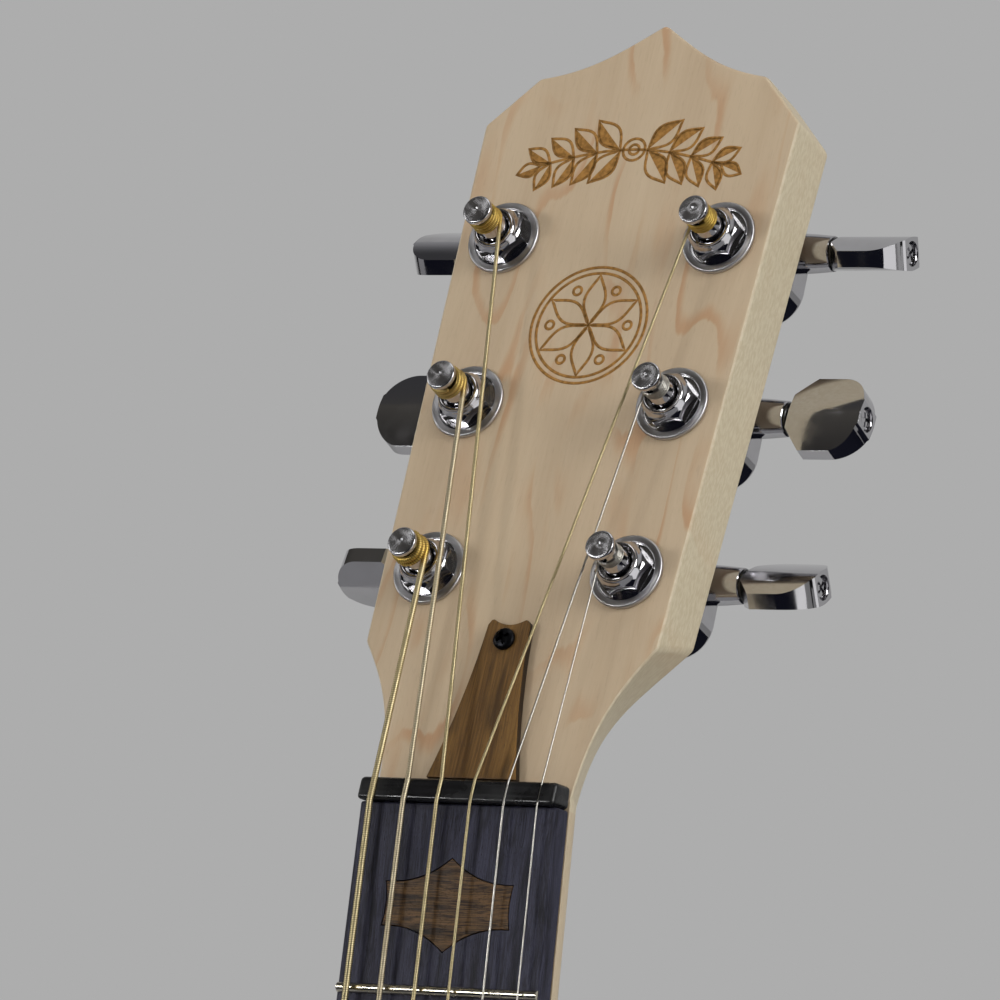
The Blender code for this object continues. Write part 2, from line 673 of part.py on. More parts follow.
def make_rod_cover():
    half = []
    base = Vector((COVER_HALF_WIDTH_BASE, COVER_BASE))
    tip = Vector((COVER_HALF_WIDTH_TIP, COVER_TIP - COVER_HORN_HEIGHT))
    for k in range(5):
        t = k / 4
        place = base.lerp(tip, t)
        half.append((place.x - COVER_SIDE_DIP * 4 * t * (1 - t), place.y))
    horn = COVER_HALF_WIDTH_TIP - COVER_HORN_WIDTH
    half.append((horn, COVER_TIP))
    for k in (1, 2):
        x = horn * (1 - k / 3)
        half.append((x, COVER_TIP - COVER_TOP_DIP * (1 - (x / COVER_HALF_WIDTH_TIP) ** 2)))
    half.append((0, COVER_TIP - COVER_TOP_DIP))
    cover = plate(mirrored_outline(half), SEAT, SEAT + COVER_THICKNESS)
    hole = cylinder(SCREW_RADIUS + SEAT, SEAT - PAST, SEAT + COVER_THICKNESS + PAST, 12)
    hole = moved(hole, Matrix.Translation((0, COVER_SCREW_UP, 0)))
    part("truss_rod_cover", moved(difference(cover, hole), HEADSTOCK), WALNUT)
    seat = 2 * SEAT + COVER_THICKNESS
    profile = [(out * SCREW_HEAD_RADIUS, seat + up * SCREW_HEAD_HEIGHT) for out, up in SCREW_DOME]
    profile += [(SCREW_HEAD_RADIUS, seat), (SCREW_RADIUS, seat)]
    profile += [(SCREW_RADIUS, SCREW_POINT - SCREW_LENGTH), (0, -SCREW_LENGTH)]
    place = HEADSTOCK @ Matrix.Translation((0, COVER_SCREW_UP, 0))
    part("cover_screw", moved(turned(profile, 16, closed=False), place), BLACK)


def tuner_places():
    places = {}
    for row, (across, up) in TUNER_ROWS.items():
        places["bass_" + row] = (-across, up)
        places["treble_" + row] = (across, up)
    return places


def make_post_mesh():
    """Post and wheel on one shaft, about Z; heights count from the headstock's face."""
    collar = BUSH_HEIGHT + SEAT
    foot = -SHAFT_DEPTH - WHEEL_THICKNESS / 2 - END_PLAY
    profile = [
        (0, POST_HEIGHT), (CAP_RADIUS, POST_HEIGHT), (CAP_RADIUS, WAIST_TOP), (WAIST_RADIUS, WAIST_TOP),
        (WAIST_RADIUS, WAIST_BOTTOM), (COLLAR_RADIUS, collar), (POST_RADIUS, collar),
        (POST_RADIUS, foot), (0, foot),
    ]
    post = turned(profile, 12, closed=False)
    pitch = 2 * math.pi / WHEEL_TEETH
    tip = WHEEL_RADIUS + TOOTH_ADDENDUM
    root = WHEEL_RADIUS - TOOTH_DEDENDUM
    outline = []
    for tooth in range(WHEEL_TEETH):
        middle = math.pi / 2 + (tooth + 0.5) * pitch
        foot_swing, tip_swing = TOOTH_FOOT_SHARE, TOOTH_TIP_SHARE
        for radius, share in ((root, -foot_swing), (tip, -tip_swing), (tip, tip_swing), (root, foot_swing)):
            angle = middle + share * pitch
            outline.append((radius * math.cos(angle), radius * math.sin(angle)))
    low = -SHAFT_DEPTH - WHEEL_THICKNESS / 2
    wheel = plate(outline, low, low + WHEEL_THICKNESS)
    hole = cylinder(STRING_HOLE_RADIUS, -WAIST_RADIUS - PAST, WAIST_RADIUS + PAST, 6, "Y")
    hole = moved(hole, Matrix.Translation((0, 0, WAIST_TOP - STRING_HOLE_DROP)))
    return difference(union(post, wheel), hole)


def make_bush_mesh():
    """Threaded bush: shank, dished washer and hexagon nut in one."""
    flat = BUSH_ACROSS_FLATS / 2
    top = flat - BUSH_SHOULDER
    dish = SEAT + WASHER_HEIGHT - WASHER_DISH
    profile = [
        (0, BUSH_HEIGHT), (top, BUSH_HEIGHT), (top, dish),
        (WASHER_RADIUS, SEAT + WASHER_HEIGHT), (WASHER_RADIUS, SEAT), (SHANK_RADIUS, SEAT),
        (SHANK_RADIUS, -BUSH_SHANK_LENGTH), (0, -BUSH_SHANK_LENGTH),
    ]
    body = turned(profile, 12, closed=False)
    corner = flat / math.cos(math.pi / 6)
    hexagon = cylinder(corner, dish + SEAT, BUSH_HEIGHT - BUSH_ROUND_HEIGHT, 6)
    bore = cylinder(BORE_RADIUS, -BUSH_SHANK_LENGTH - PAST, BUSH_HEIGHT + PAST, 12)
    return difference(union(body, hexagon), bore)


def make_housing_mesh():
    """Die-cast housing with its barrel and ferrule, hollow for the worm and wheel."""
    front = -HEAD_THICKNESS - SEAT
    back = -SHAFT_DEPTH - THREAD_TIP_RADIUS - RUN - HOUSING_WALL
    side = HOUSING_HALF_WIDTH
    top = WORM_OFFSET + THREAD_TIP_RADIUS + RUN + HOUSING_WALL
    outline = []
    for i in range(7):
        angle = math.pi + math.pi * i / 6
        outline.append((HOUSING_RADIUS * math.cos(angle), HOUSING_RADIUS * math.sin(angle)))
    low_corner = top - HOUSING_CORNER
    outline += [(side, low_corner), (side - HOUSING_CORNER, top)]
    outline += [(HOUSING_CORNER - side, top), (-side, low_corner)]
    body = plate(outline, back, front)
    barrel_top = -BARREL_GAP_TO_FACE
    barrel = cylinder(BARREL_RADIUS, front - OVERLAP, barrel_top, 12)
    shaft_place = Matrix.Translation((0, WORM_OFFSET, -SHAFT_DEPTH))
    ferrule = moved(cylinder(FERRULE_RADIUS, side - OVERLAP, FERRULE_END, 12, "X"), shaft_place)
    body = union(body, barrel, ferrule)
    wheel_room = TOOTH_ADDENDUM + WHEEL_RADIUS + RUN
    room_half = WHEEL_THICKNESS / 2 + RUN
    cuts = [cylinder(wheel_room, -SHAFT_DEPTH - room_half - END_PLAY, -SHAFT_DEPTH + room_half, 12)]
    cuts.append(cylinder(BORE_RADIUS, -SHAFT_DEPTH, barrel_top + PAST, 12))
    cuts.append(cylinder(BARREL_BORE, -BUSH_SHANK_LENGTH - SEAT, barrel_top + PAST, 12))
    worm_half = worm_half_length() + WORM_END_ROOM
    cuts.append(moved(cylinder(THREAD_TIP_RADIUS + RUN, -worm_half, worm_half, 10, "X"), shaft_place))
    cuts.append(moved(cylinder(SHAFT_RADIUS + RUN, 0, FERRULE_END + PAST, 10, "X"), shaft_place))
    return difference(body, *cuts)


def worm_half_length():
    lead = 2 * math.pi * WHEEL_RADIUS / WHEEL_TEETH
    return THREAD_TURNS * lead / 2


def make_worm_mesh():
    """Worm and shaft about X, its middle at the origin; one thread turn moves the wheel one tooth."""
    lead = 2 * math.pi * WHEEL_RADIUS / WHEEL_TEETH
    root = math.pi * THREAD_ROOT_WIDTH / lead
    tip = math.pi * THREAD_TIP_WIDTH / lead
    cam = [(THREAD_TIP_RADIUS, -tip), (THREAD_TIP_RADIUS, tip), (THREAD_ROOT_RADIUS, root)]
    cam += [(THREAD_ROOT_RADIUS, math.pi * 4 / 5), (THREAD_ROOT_RADIUS, math.pi * 6 / 5)]
    cam.append((THREAD_ROOT_RADIUS, -root))
    rings = []
    count = int(THREAD_TURNS * THREAD_STEPS)
    for i in range(count + 1):
        turns = i / THREAD_STEPS - THREAD_TURNS / 2
        phase = math.pi + turns * 2 * math.pi
        rings.append([
            (turns * lead, radius * math.cos(phase + angle), radius * math.sin(phase + angle))
            for radius, angle in cam])
    worm = loft(rings)
    half = THREAD_TURNS * lead / 2
    shaft_end = BUTTON_START + BUTTON_LENGTH * BUTTON_BORE_SHARE
    shaft = cylinder(SHAFT_RADIUS, half - SHAFT_IN_WORM, shaft_end, 10, "X")
    return union(worm, shaft)


def make_button_mesh():
    """Half-moon button about X, with its end screw; it slides on the shaft's end."""
    wide = BUTTON_HALF_WIDTH
    end = BUTTON_LENGTH
    straight = BUTTON_STRAIGHT_SHARE * end
    half = [(0, BUTTON_NECK), (BUTTON_SHOULDER, wide), (straight, wide)]
    for k in range(1, 5):
        angle = math.pi / 2 * (1 - k / 5)
        along = straight + (end - straight) * math.cos(angle)
        half.append((along, wide * math.sin(angle) ** BUTTON_ROUNDNESS))
    half.append((end, BUTTON_END_HALF))
    outline = half + [(x, -y) for x, y in reversed(half)]
    full = BUTTON_THICKNESS / 2
    thin = BUTTON_EDGE_THICKNESS / 2
    blade = plate(outline, -full - PAST, full + PAST)
    halfway = (BUTTON_RIDGE + wide) / 2
    swell = full - BUTTON_SWELL * (full - thin)
    slope = (thin - swell) / (wide - halfway)
    upper = [(BUTTON_RIDGE, full), (halfway, swell), (wide + OVERLAP, thin + slope * OVERLAP)]
    section = upper + [(y, -z) for y, z in reversed(upper)]
    section += [(-y, -z) for y, z in upper] + [(-y, z) for y, z in reversed(upper)]
    along_x = Matrix(((0, 0, 1, 0), (1, 0, 0, 0), (0, 1, 0, 0), (0, 0, 0, 1)))
    lens = moved(plate(section, -PAST, end + PAST), along_x)
    blade = combine(blade, [lens], "INTERSECT")
    bore_end = BUTTON_LENGTH * BUTTON_BORE_SHARE + SEAT
    bore = cylinder(SHAFT_RADIUS + SEAT, -PAST, bore_end, 10, "X")
    screw = cylinder(BUTTON_SCREW_RADIUS, end - OVERLAP, end + BUTTON_SCREW_HEIGHT, 12, "X")
    return moved(difference(union(blade, screw), bore), Matrix.Translation((BUTTON_START, 0, 0)))


def make_tuners():
    meshes = {
        "post": (make_post_mesh(), CHROME), "bush": (make_bush_mesh(), CHROME),
        "housing": (make_housing_mesh(), CHROME), "worm": (make_worm_mesh(), STEEL),
        "button": (make_button_mesh(), CHROME),
    }
    flip = Matrix.Diagonal((-1, 1, 1, 1))
    for name, (across, up) in tuner_places().items():
        mirror = flip if across < 0 else Matrix.Identity(4)
        place = HEADSTOCK @ Matrix.Translation((across, up, 0))
        post_axis = joint_empty("post_axis_" + name, place)
        shaft_place = place @ Matrix.Translation((0, WORM_OFFSET, -SHAFT_DEPTH))
        shaft_axis = joint_empty("shaft_axis_" + name, shaft_place)
        for piece, (mesh, mat) in meshes.items():
            copy = moved(mesh.copy(), mirror)
            if piece == "button":
                copy.transform(Matrix.Rotation(math.radians(BUTTON_TURN[name]), 4, "X"))
            carrier = shaft_axis if piece in ("worm", "button") else post_axis
            part("tuner_" + piece + "_" + name, copy, mat, parent=carrier)


def leaving_angle(centre, radius, target, side):
    """The angle on a circle where a line from the target touches it, on the side given as 1 or -1."""
    offset = target - centre
    return math.atan2(offset.y, offset.x) + side * math.acos(radius / offset.length)


def string_route(number):
    """Points of one string: its coil on the post from the top down, nut, bridge and tailpiece."""
    _, diameter, tuner, turns = STRINGS[number]
    across, up = tuner_places()[tuner]
    side = 1 if across < 0 else -1
    radius = WAIST_RADIUS + RUN + diameter / 2
    pitch = diameter + COIL_GAP
    height_at_nut = string_over_nut(number, NUT_THICKNESS)
    nut_back = Vector((string_across(number, STRING_SPAN_NUT), -height_at_nut, NUT_THICKNESS))
    on_head = HEADSTOCK.inverted() @ nut_back
    leave = leaving_angle(Vector((across, up)), radius, on_head.xy, side)
    low = WAIST_BOTTOM + SEAT + diameter / 2 + COIL_LIFT
    count = int(turns * COIL_POINTS)
    coil = []
    for i in range(count, -1, -1):
        turn = i / COIL_POINTS
        angle = leave + side * turn * 2 * math.pi
        place = Vector((across + radius * math.cos(angle), up + radius * math.sin(angle), low + pitch * turn))
        coil.append(place)
    first = coil[0] + (coil[0] - coil[1]).normalized() * diameter
    route = [HEADSTOCK @ place for place in [first] + coil]
    route.append(nut_back)
    route.append(Vector((string_across(number, STRING_SPAN_NUT), -string_over_nut(number, 0), 0)))
    bridge_across = string_across(number, STRING_SPAN_BRIDGE)
    over_bridge = Vector((bridge_across, -BRIDGE_FROM_CENTRE, BRIDGE_HEIGHT + SEAT + diameter / 2))
    lip_height = tail_string_height()
    at_lip = Vector((bridge_across, -TAIL_LIP, lip_height))
    past_lip = Vector((bridge_across, -TAIL_LIP - TAIL_LIP_LENGTH - STRING_PAST_LIP, lip_height))
    route += [POT @ place for place in (over_bridge, at_lip, past_lip)]
    return route, count


def coil_gap(route, count, diameter):
    """The least gap between a coil's neighbouring turns, measured on its points."""
    least = 1.0
    coil = route[:count + 2]
    for i, place in enumerate(coil):
        for other in coil[i + COIL_POINTS // 2:]:
            least = min(least, (place - other).length - diameter)
    return least


def make_strings():
    for number, (name, diameter, _, _) in enumerate(STRINGS):
        route, count = string_route(number)
        mat = BRONZE if number < 4 else STEEL
        part(name, tube(route, diameter / 2, 1 if number < 3 else 0), mat)
        print(name, "least gap in its coil, mm:", round(coil_gap(route, count, diameter) / MM, 3))


def make_rim():
    top = -(SKIN + SEAT)
    inner = RIM_RADIUS - RIM_WALL
    profile = [
        (RIM_RADIUS - RIM_EDGE_SLOPE, top), (RIM_RADIUS, top - RIM_EDGE_SLOPE), (RIM_RADIUS, -RIM_DEPTH),
        (inner, -RIM_DEPTH), (inner, top - 2 * RIM_EDGE_SLOPE), (inner + 2 * RIM_EDGE_SLOPE, top),
    ]
    rim = turned(profile, POT_SEGMENTS)
    through = cylinder(BOLT_RADIUS + SEAT, inner - PAST, RIM_RADIUS + PAST, 16, "Y")
    lift = Matrix.Translation((0, 0, -BOLT_DEPTH))
    holes = [moved(through, lift), moved(through.copy(), Matrix.Rotation(math.pi, 4, "Z"))]
    part("rim", moved(difference(rim, *holes), POT), MAPLE)


def make_drum_head():
    bead = -SKIN_COLLAR
    profile = [
        (0, 0), (COLLAR_OUTER - SKIN_BEND, 0), (COLLAR_OUTER, -SKIN_BEND), (COLLAR_OUTER, bead),
        (COLLAR_OUTER + FLESH_HOOP_WIDTH, bead - BEAD_SLOPE),
        (COLLAR_OUTER + FLESH_HOOP_WIDTH, bead - FLESH_HOOP_HEIGHT), (COLLAR_INNER, bead - FLESH_HOOP_HEIGHT),
        (COLLAR_INNER, -SKIN - SKIN_INNER_BEND), (COLLAR_INNER - SKIN_INNER_BEND, -SKIN), (0, -SKIN),
    ]
    part("drum_head", moved(turned(profile, POT_SEGMENTS, closed=False), POT), SKIN_WHITE)


def hook_angles():
    """Angles of the hooks from the neck's side of the pot, even but for the gap at the neck."""
    step = (2 * math.pi - HOOK_GAP_AT_NECK) / (HOOK_COUNT - 1)
    return [math.pi / 2 + HOOK_GAP_AT_NECK / 2 + step * i for i in range(HOOK_COUNT)]


def make_tension_hoop():
    bottom = -SKIN_COLLAR + SEAT
    profile = [
        (HOOP_OUTER, HOOP_PROUD), (HOOP_OUTER, bottom), (HOOP_INNER, bottom), (HOOP_INNER, HOOP_PROUD),
    ]
    hoop = turned(profile, POT_SEGMENTS)
    axis = HOOP_OUTER + HOOK_OFF_HOOP + HOOK_RADIUS
    claw_top = HOOP_PROUD + HOOK_CLAW
    low = -SHOE_TOP - SHOE_HEIGHT - HOOK_NUT_LENGTH
    out = Matrix.Translation((axis, 0, 0))
    rod = moved(cylinder(HOOK_RADIUS, low - HOOK_PAST_NUT, claw_top - HOOK_BELOW_CLAW, 6), out)
    claw = box((HOOP_INNER + CLAW_FROM_HOOP_EDGE, -HOOK_WIDTH / 2, HOOP_PROUD - JOIN),
               (axis + HOOK_RADIUS + CLAW_PAST_HOOK, HOOK_WIDTH / 2, claw_top))
    shoe = box((RIM_RADIUS + SEAT, -SHOE_WIDTH / 2, -SHOE_TOP - SHOE_HEIGHT),
               (axis + HOOK_RADIUS + SHOE_PAST_HOOK, SHOE_WIDTH / 2, -SHOE_TOP))
    nut = moved(cylinder(HOOK_NUT_RADIUS, low, low + HOOK_NUT_LENGTH + JOIN, 6), out)
    hook = union(rod, claw, shoe, nut)
    hooks = [moved(hook.copy(), Matrix.Rotation(angle, 4, "Z")) for angle in hook_angles()]
    part("tension_hoop", moved(union(hoop, *hooks), POT), CHROME)


def make_coordinator_rod():
    reach = (RIM_RADIUS - RIM_WALL) * math.cos(math.pi / POT_SEGMENTS) - SEAT
    rod = cylinder(COORDINATOR_RADIUS, -reach, reach, 16, "Y")
    bore = BOLT_RADIUS + SEAT
    hole = cylinder(bore, reach - BOLT_IN_ROD - SEAT, reach + PAST, 16, "Y")
    other = moved(hole.copy(), Matrix.Rotation(math.pi, 4, "Z"))
    place = POT @ Matrix.Translation((0, 0, -BOLT_DEPTH))
    part("coordinator_rod", moved(difference(rod, hole, other), place), STEEL)
    inner_end = reach - BOLT_IN_ROD
    neck_bolt = cylinder(BOLT_RADIUS, inner_end, RIM_RADIUS + BOLT_IN_HEEL, 12, "Y")
    part("neck_bolt", moved(neck_bolt, place), STEEL)
    seat = tail_foot_radius() + TAIL_PLATE + SEAT
    shank = cylinder(BOLT_RADIUS, inner_end, seat + OVERLAP, 12, "Y")
    head = cylinder(END_HEAD_RADIUS, seat, seat + END_HEAD_LENGTH, 6, "Y")
    tail_bolt = moved(union(shank, head), Matrix.Rotation(math.pi, 4, "Z"))
    part("tail_bolt", moved(tail_bolt, place), STEEL)
    spacer = cylinder(SPACER_RADIUS, RIM_RADIUS + SEAT, tail_foot_radius() - SEAT, 16, "Y")
    bore_through = cylinder(bore, RIM_RADIUS - PAST, tail_foot_radius() + PAST, 12, "Y")
    spacer = moved(difference(spacer, bore_through), Matrix.Rotation(math.pi, 4, "Z"))
    part("tail_spacer", moved(spacer, place), CHROME)


def tail_foot_radius():
    """From the pot's axis to the inner face of the tailpiece's foot."""
    return HOOP_OUTER + TAIL_OFF_HOOP


def tail_string_height():
    return HOOP_PROUD + TAIL_RISE + TAIL_LIP_HEIGHT * TAIL_STRING_SHARE


def make_tailpiece():
    """A bent plate over the hoop: lip, string holes and a foot on the tail bolt."""
    top = HOOP_PROUD + TAIL_RISE
    foot = tail_foot_radius()
    low = -BOLT_DEPTH - SPACER_RADIUS
    bend = TAIL_BEND
    side = [
        (TAIL_LIP, top + TAIL_LIP_HEIGHT), (TAIL_LIP, top - TAIL_PLATE), (foot - bend, top - TAIL_PLATE),
        (foot, top - TAIL_PLATE - bend), (foot, low), (foot + TAIL_PLATE, low),
        (foot + TAIL_PLATE, top - bend), (foot - bend + TAIL_OUTER_BEND, top),
        (TAIL_LIP + TAIL_LIP_LENGTH, top),
        (TAIL_LIP + TAIL_LIP_LENGTH, top + TAIL_LIP_HEIGHT),
    ]
    stand = Matrix(((0, 0, 1, 0), (-1, 0, 0, 0), (0, 1, 0, 0), (0, 0, 0, 1)))
    body = moved(plate(side, -TAIL_WIDTH / 2, TAIL_WIDTH / 2), stand)
    trims = []
    for hand in (-1, 1):
        near = hand * TAIL_FOOT_WIDTH / 2
        far = hand * (TAIL_WIDTH / 2 + PAST)
        end = -foot - TAIL_PLATE - PAST
        trim = [(far, -TAIL_LIP - TAIL_SHOULDER), (near, -foot + TAIL_NARROW), (near, end), (far, end)]
        trims.append(plate(trim, low - PAST, top + TAIL_PLATE))
    hole = cylinder(BOLT_RADIUS + SEAT, foot - PAST, foot + TAIL_PLATE + PAST, 16, "Y")
    turn = Matrix.Translation((0, 0, -BOLT_DEPTH)) @ Matrix.Rotation(math.pi, 4, "Z")
    trims.append(moved(hole, turn))
    for number, (_, diameter, _, _) in enumerate(STRINGS):
        across = string_across(number, STRING_SPAN_BRIDGE)
        height = tail_string_height()
        slot = cylinder(diameter / 2 + SEAT, -TAIL_LIP - TAIL_LIP_LENGTH - PAST, -TAIL_LIP + PAST, 8, "Y")
        trims.append(moved(slot, Matrix.Translation((across, 0, height))))
    part("tailpiece", moved(difference(body, *trims), POT), CHROME)


def make_bridge():
    wide = BRIDGE_WIDTH / 2
    arch_start = BRIDGE_MIDDLE_FOOT / 2
    arch_end = wide - BRIDGE_OUTER_FOOT
    half = [(arch_start, SEAT)]
    for k in range(1, 8):
        t = k / 8
        rise = math.sin(math.pi * t) ** BRIDGE_ARCH_ROUNDNESS
        half.append((arch_start + (arch_end - arch_start) * t, SEAT + BRIDGE_ARCH_HEIGHT * rise))
    half += [(arch_end, SEAT), (wide, SEAT), (wide, BRIDGE_SIDE), (BRIDGE_TOP_WIDTH / 2, BRIDGE_HEIGHT)]
    outline = half + [(-x, y) for x, y in reversed(half)]
    body = plate(outline, -BRIDGE_THICKNESS / 2, BRIDGE_THICKNESS / 2)
    for vertex in body.vertices:
        share = vertex.co.y / BRIDGE_HEIGHT
        vertex.co.z *= 1 + (BRIDGE_TOP_THICKNESS / BRIDGE_THICKNESS - 1) * share
    stand = Matrix(((1, 0, 0, 0), (0, 0, -1, -BRIDGE_FROM_CENTRE), (0, 1, 0, 0), (0, 0, 0, 1)))
    part("bridge", moved(body, POT @ stand), MAPLE)


clear_scene()
PARTS = new_collection("six_string_banjo")
CUTTERS = new_collection("cutters")
MAPLE = material("maple", (0.62, 0.47, 0.33), 0.45)
BOARD = material("fretboard", (0.16, 0.17, 0.20), 0.5)
WALNUT = material("walnut", (0.24, 0.14, 0.08), 0.5)
BLACK = material("black", (0.02, 0.02, 0.022), 0.25)
CHROME = material("chrome", (0.80, 0.80, 0.81), 0.12, 1.0)
STEEL = material("steel", (0.60, 0.60, 0.60), 0.3, 1.0)
BRONZE = material("bronze", (0.66, 0.50, 0.22), 0.3, 1.0)
SKIN_WHITE = material("drum_skin", (0.85, 0.85, 0.82), 0.6)

make_neck()
make_fretboard()
make_nut()
make_truss_rod()
make_rod_cover()
make_tuners()
make_strings()
make_rim()
make_drum_head()
make_tension_hoop()
make_coordinator_rod()
make_tailpiece()
make_bridge()
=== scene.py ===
"""Six-string banjo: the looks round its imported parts, in the parts' own frame.

Metres, +Z up the neck, -Y the front, +X the treble side, from the fretboard's surface at the nut.
"""
import math

import bmesh
import bpy
from mathutils import Matrix, Vector


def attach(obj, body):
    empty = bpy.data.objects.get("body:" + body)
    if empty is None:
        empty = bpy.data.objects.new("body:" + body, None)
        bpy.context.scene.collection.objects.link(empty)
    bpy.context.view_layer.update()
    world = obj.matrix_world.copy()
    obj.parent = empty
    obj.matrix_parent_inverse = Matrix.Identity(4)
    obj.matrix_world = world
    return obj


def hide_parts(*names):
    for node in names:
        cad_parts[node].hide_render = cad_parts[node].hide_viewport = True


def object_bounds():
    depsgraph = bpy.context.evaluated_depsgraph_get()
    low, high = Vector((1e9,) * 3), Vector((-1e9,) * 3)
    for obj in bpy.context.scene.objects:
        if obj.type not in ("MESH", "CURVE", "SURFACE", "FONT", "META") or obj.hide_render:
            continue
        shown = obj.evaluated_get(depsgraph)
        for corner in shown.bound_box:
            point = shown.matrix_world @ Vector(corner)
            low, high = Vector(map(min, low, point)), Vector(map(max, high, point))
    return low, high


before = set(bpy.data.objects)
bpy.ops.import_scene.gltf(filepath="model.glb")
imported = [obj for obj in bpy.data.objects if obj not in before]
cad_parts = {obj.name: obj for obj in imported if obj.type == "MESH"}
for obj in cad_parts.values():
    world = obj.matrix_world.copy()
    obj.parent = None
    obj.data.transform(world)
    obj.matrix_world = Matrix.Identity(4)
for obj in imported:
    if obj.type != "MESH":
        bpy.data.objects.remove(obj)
cad_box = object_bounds()

# Neck and headstock
# One length of maple whose headstock tilts back, sanded and oiled rather than varnished.
# It is band-sawn and shaped by hand; six holes take the tuners and a channel the truss rod.
MM = 0.001
BODY = "banjo"
SCALE_LENGTH = 640 * MM
NUT_WIDTH = 43 * MM
WIDTH_AT_12 = 52.4 * MM
BOARD_THICKNESS = 4.6 * MM
HEAD_TILT = math.radians(14.6)
HEAD_THICKNESS = 14 * MM
HEAD_FOOT = -1.2 * MM
THROAT = (21.6 * MM, 14.6 * MM)
THROAT_PULLS = (((22.2 * MM, 14 * MM), (25.6 * MM, 21.5 * MM)),
                ((14.4 * MM, 20 * MM), (18.5 * MM, 22 * MM)))
LOWER_CORNERS = ((32.2 * MM, 31.0 * MM), (31.9 * MM, 36.8 * MM))
UPPER_CORNER = (35.1 * MM, 143.8 * MM)
SHOULDER = (25.3 * MM, 154.2 * MM)
CROWN_PULLS = ((14 * MM, 155.8 * MM), (8 * MM, 160.5 * MM))
APEX = (0, 165.9 * MM)
EASED_EDGE = 0.9 * MM
NECK_DEPTH_NUT = 16.4 * MM
NECK_DEPTH_12 = 18.6 * MM
NECK_JOINT = 462.3 * MM
HEEL_LENGTH = 62 * MM
HEEL_DEPTH = 54 * MM
NECK_ROUNDNESS = 1.8
HEEL_ROUNDNESS = 1.7
NECK_ROOT = ((12 * MM, 5 * MM, 1.2 * MM), (9 * MM, 3.4 * MM, 0.7 * MM), (6 * MM, 2 * MM, 0.3 * MM))
NECK_RINGS = 24
ROD_CHANNEL = ((-4.75 * MM, 4.2 * MM, -10 * MM), (4.75 * MM, 26 * MM, 2 * MM))
TUNER_PLACES = {
    "bass_low": (-21.7 * MM, 46.6 * MM), "bass_mid": (-22.6 * MM, 82.4 * MM),
    "bass_top": (-23.9 * MM, 118.3 * MM),
    "treble_low": (21.7 * MM, 46.6 * MM), "treble_mid": (22.6 * MM, 82.4 * MM),
    "treble_top": (23.9 * MM, 118.3 * MM),
}
TUNER_HOLE = 4.9 * MM
RIM_RADIUS = 139.7 * MM
RIM_ROOM = (RIM_RADIUS + 0.2 * MM, -80 * MM, -10 * MM)
HOOP_ROOM = (146 * MM, -14.6 * MM, 2.7 * MM)
HEAD_SURFACE = 10.3 * MM

HEAD = Matrix((
    (1, 0, 0, 0),
    (0, math.sin(HEAD_TILT), -math.cos(HEAD_TILT), 5 * MM),
    (0, math.cos(HEAD_TILT), math.sin(HEAD_TILT), 3 * MM),
    (0, 0, 0, 1),
))
POT = Matrix.Translation((0, HEAD_SURFACE, -NECK_JOINT - RIM_RADIUS)) @ Matrix.Rotation(math.pi / 2, 4, "X")


def tone(red, green, blue):
    """A colour read off as 0 to 255, as the shader's linear values."""
    linear = [(c / 255 / 12.92) if c < 11 else ((c / 255 + 0.055) / 1.055) ** 2.4
              for c in (red, green, blue)]
    return (*linear, 1)


def mesh_of(bm, name="made"):
    mesh = bpy.data.meshes.new(name)
    bm.to_mesh(mesh)
    bm.free()
    return mesh


def evaluated(carrier):
    """The mesh that an object's modifiers give; the object goes."""
    bpy.context.view_layer.update()
    graph = bpy.context.evaluated_depsgraph_get()
    mesh = bpy.data.meshes.new_from_object(carrier.evaluated_get(graph), depsgraph=graph)
    bpy.data.objects.remove(carrier, do_unlink=True)
    return mesh


def carrier_of(mesh):
    carrier = bpy.data.objects.new("carrier", mesh)
    bpy.context.scene.collection.objects.link(carrier)
    return carrier


def moved(mesh, matrix):
    mesh.transform(matrix)
    if matrix.determinant() < 0:
        mesh.flip_normals()
    return mesh


def loft(rings):
    """A closed solid through rings of as many points each."""
    bm = bmesh.new()
    rows = [[bm.verts.new(point) for point in ring] for ring in rings]
    for lower, upper in zip(rows, rows[1:]):
        for i in range(len(lower)):
            j = (i + 1) % len(lower)
            bm.faces.new((lower[i], lower[j], upper[j], upper[i]))
    bm.faces.new(list(reversed(rows[0])))
    bm.faces.new(rows[-1])
    bmesh.ops.recalc_face_normals(bm, faces=bm.faces)
    return mesh_of(bm)


def lathe(profile, sides, ring=False):
    """A profile of (radius, height) turned about Z, closed at a radius of 0 or, as a ring, on itself."""
    bm = bmesh.new()
    rows = []
    for radius, height in profile:
        if radius == 0:
            rows.append([bm.verts.new((0, 0, height))])
            continue
        turns = [2 * math.pi * k / sides for k in range(sides)]
        rows.append([bm.verts.new((radius * math.cos(t), radius * math.sin(t), height)) for t in turns])
    if ring:
        rows.append(rows[0])
    for upper, lower in zip(rows, rows[1:]):
        for i in range(sides):
            j = (i + 1) % sides
            corners = [upper[i % len(upper)], upper[j % len(upper)], lower[j % len(lower)],
                       lower[i % len(lower)]]
            bm.faces.new(list(dict.fromkeys(corners)))
    bmesh.ops.recalc_face_normals(bm, faces=bm.faces)
    return mesh_of(bm)


def rod(radius, low, high, sides=24, axis="Z"):
    mesh = lathe([(0, high), (radius, high), (radius, low), (0, low)], sides)
    if axis == "X":
        mesh.transform(Matrix.Rotation(math.pi / 2, 4, "Y"))
    if axis == "Y":
        mesh.transform(Matrix.Rotation(-math.pi / 2, 4, "X"))
    return mesh


def block(low, high):
    (x0, y0, z0), (x1, y1, z1) = low, high
    return loft([[(x0, y0, z), (x1, y0, z), (x1, y1, z), (x0, y1, z)] for z in (z0, z1)])


def plate(outline, low, high):
    return loft([[(x, y, z) for x, y in outline] for z in (low, high)])


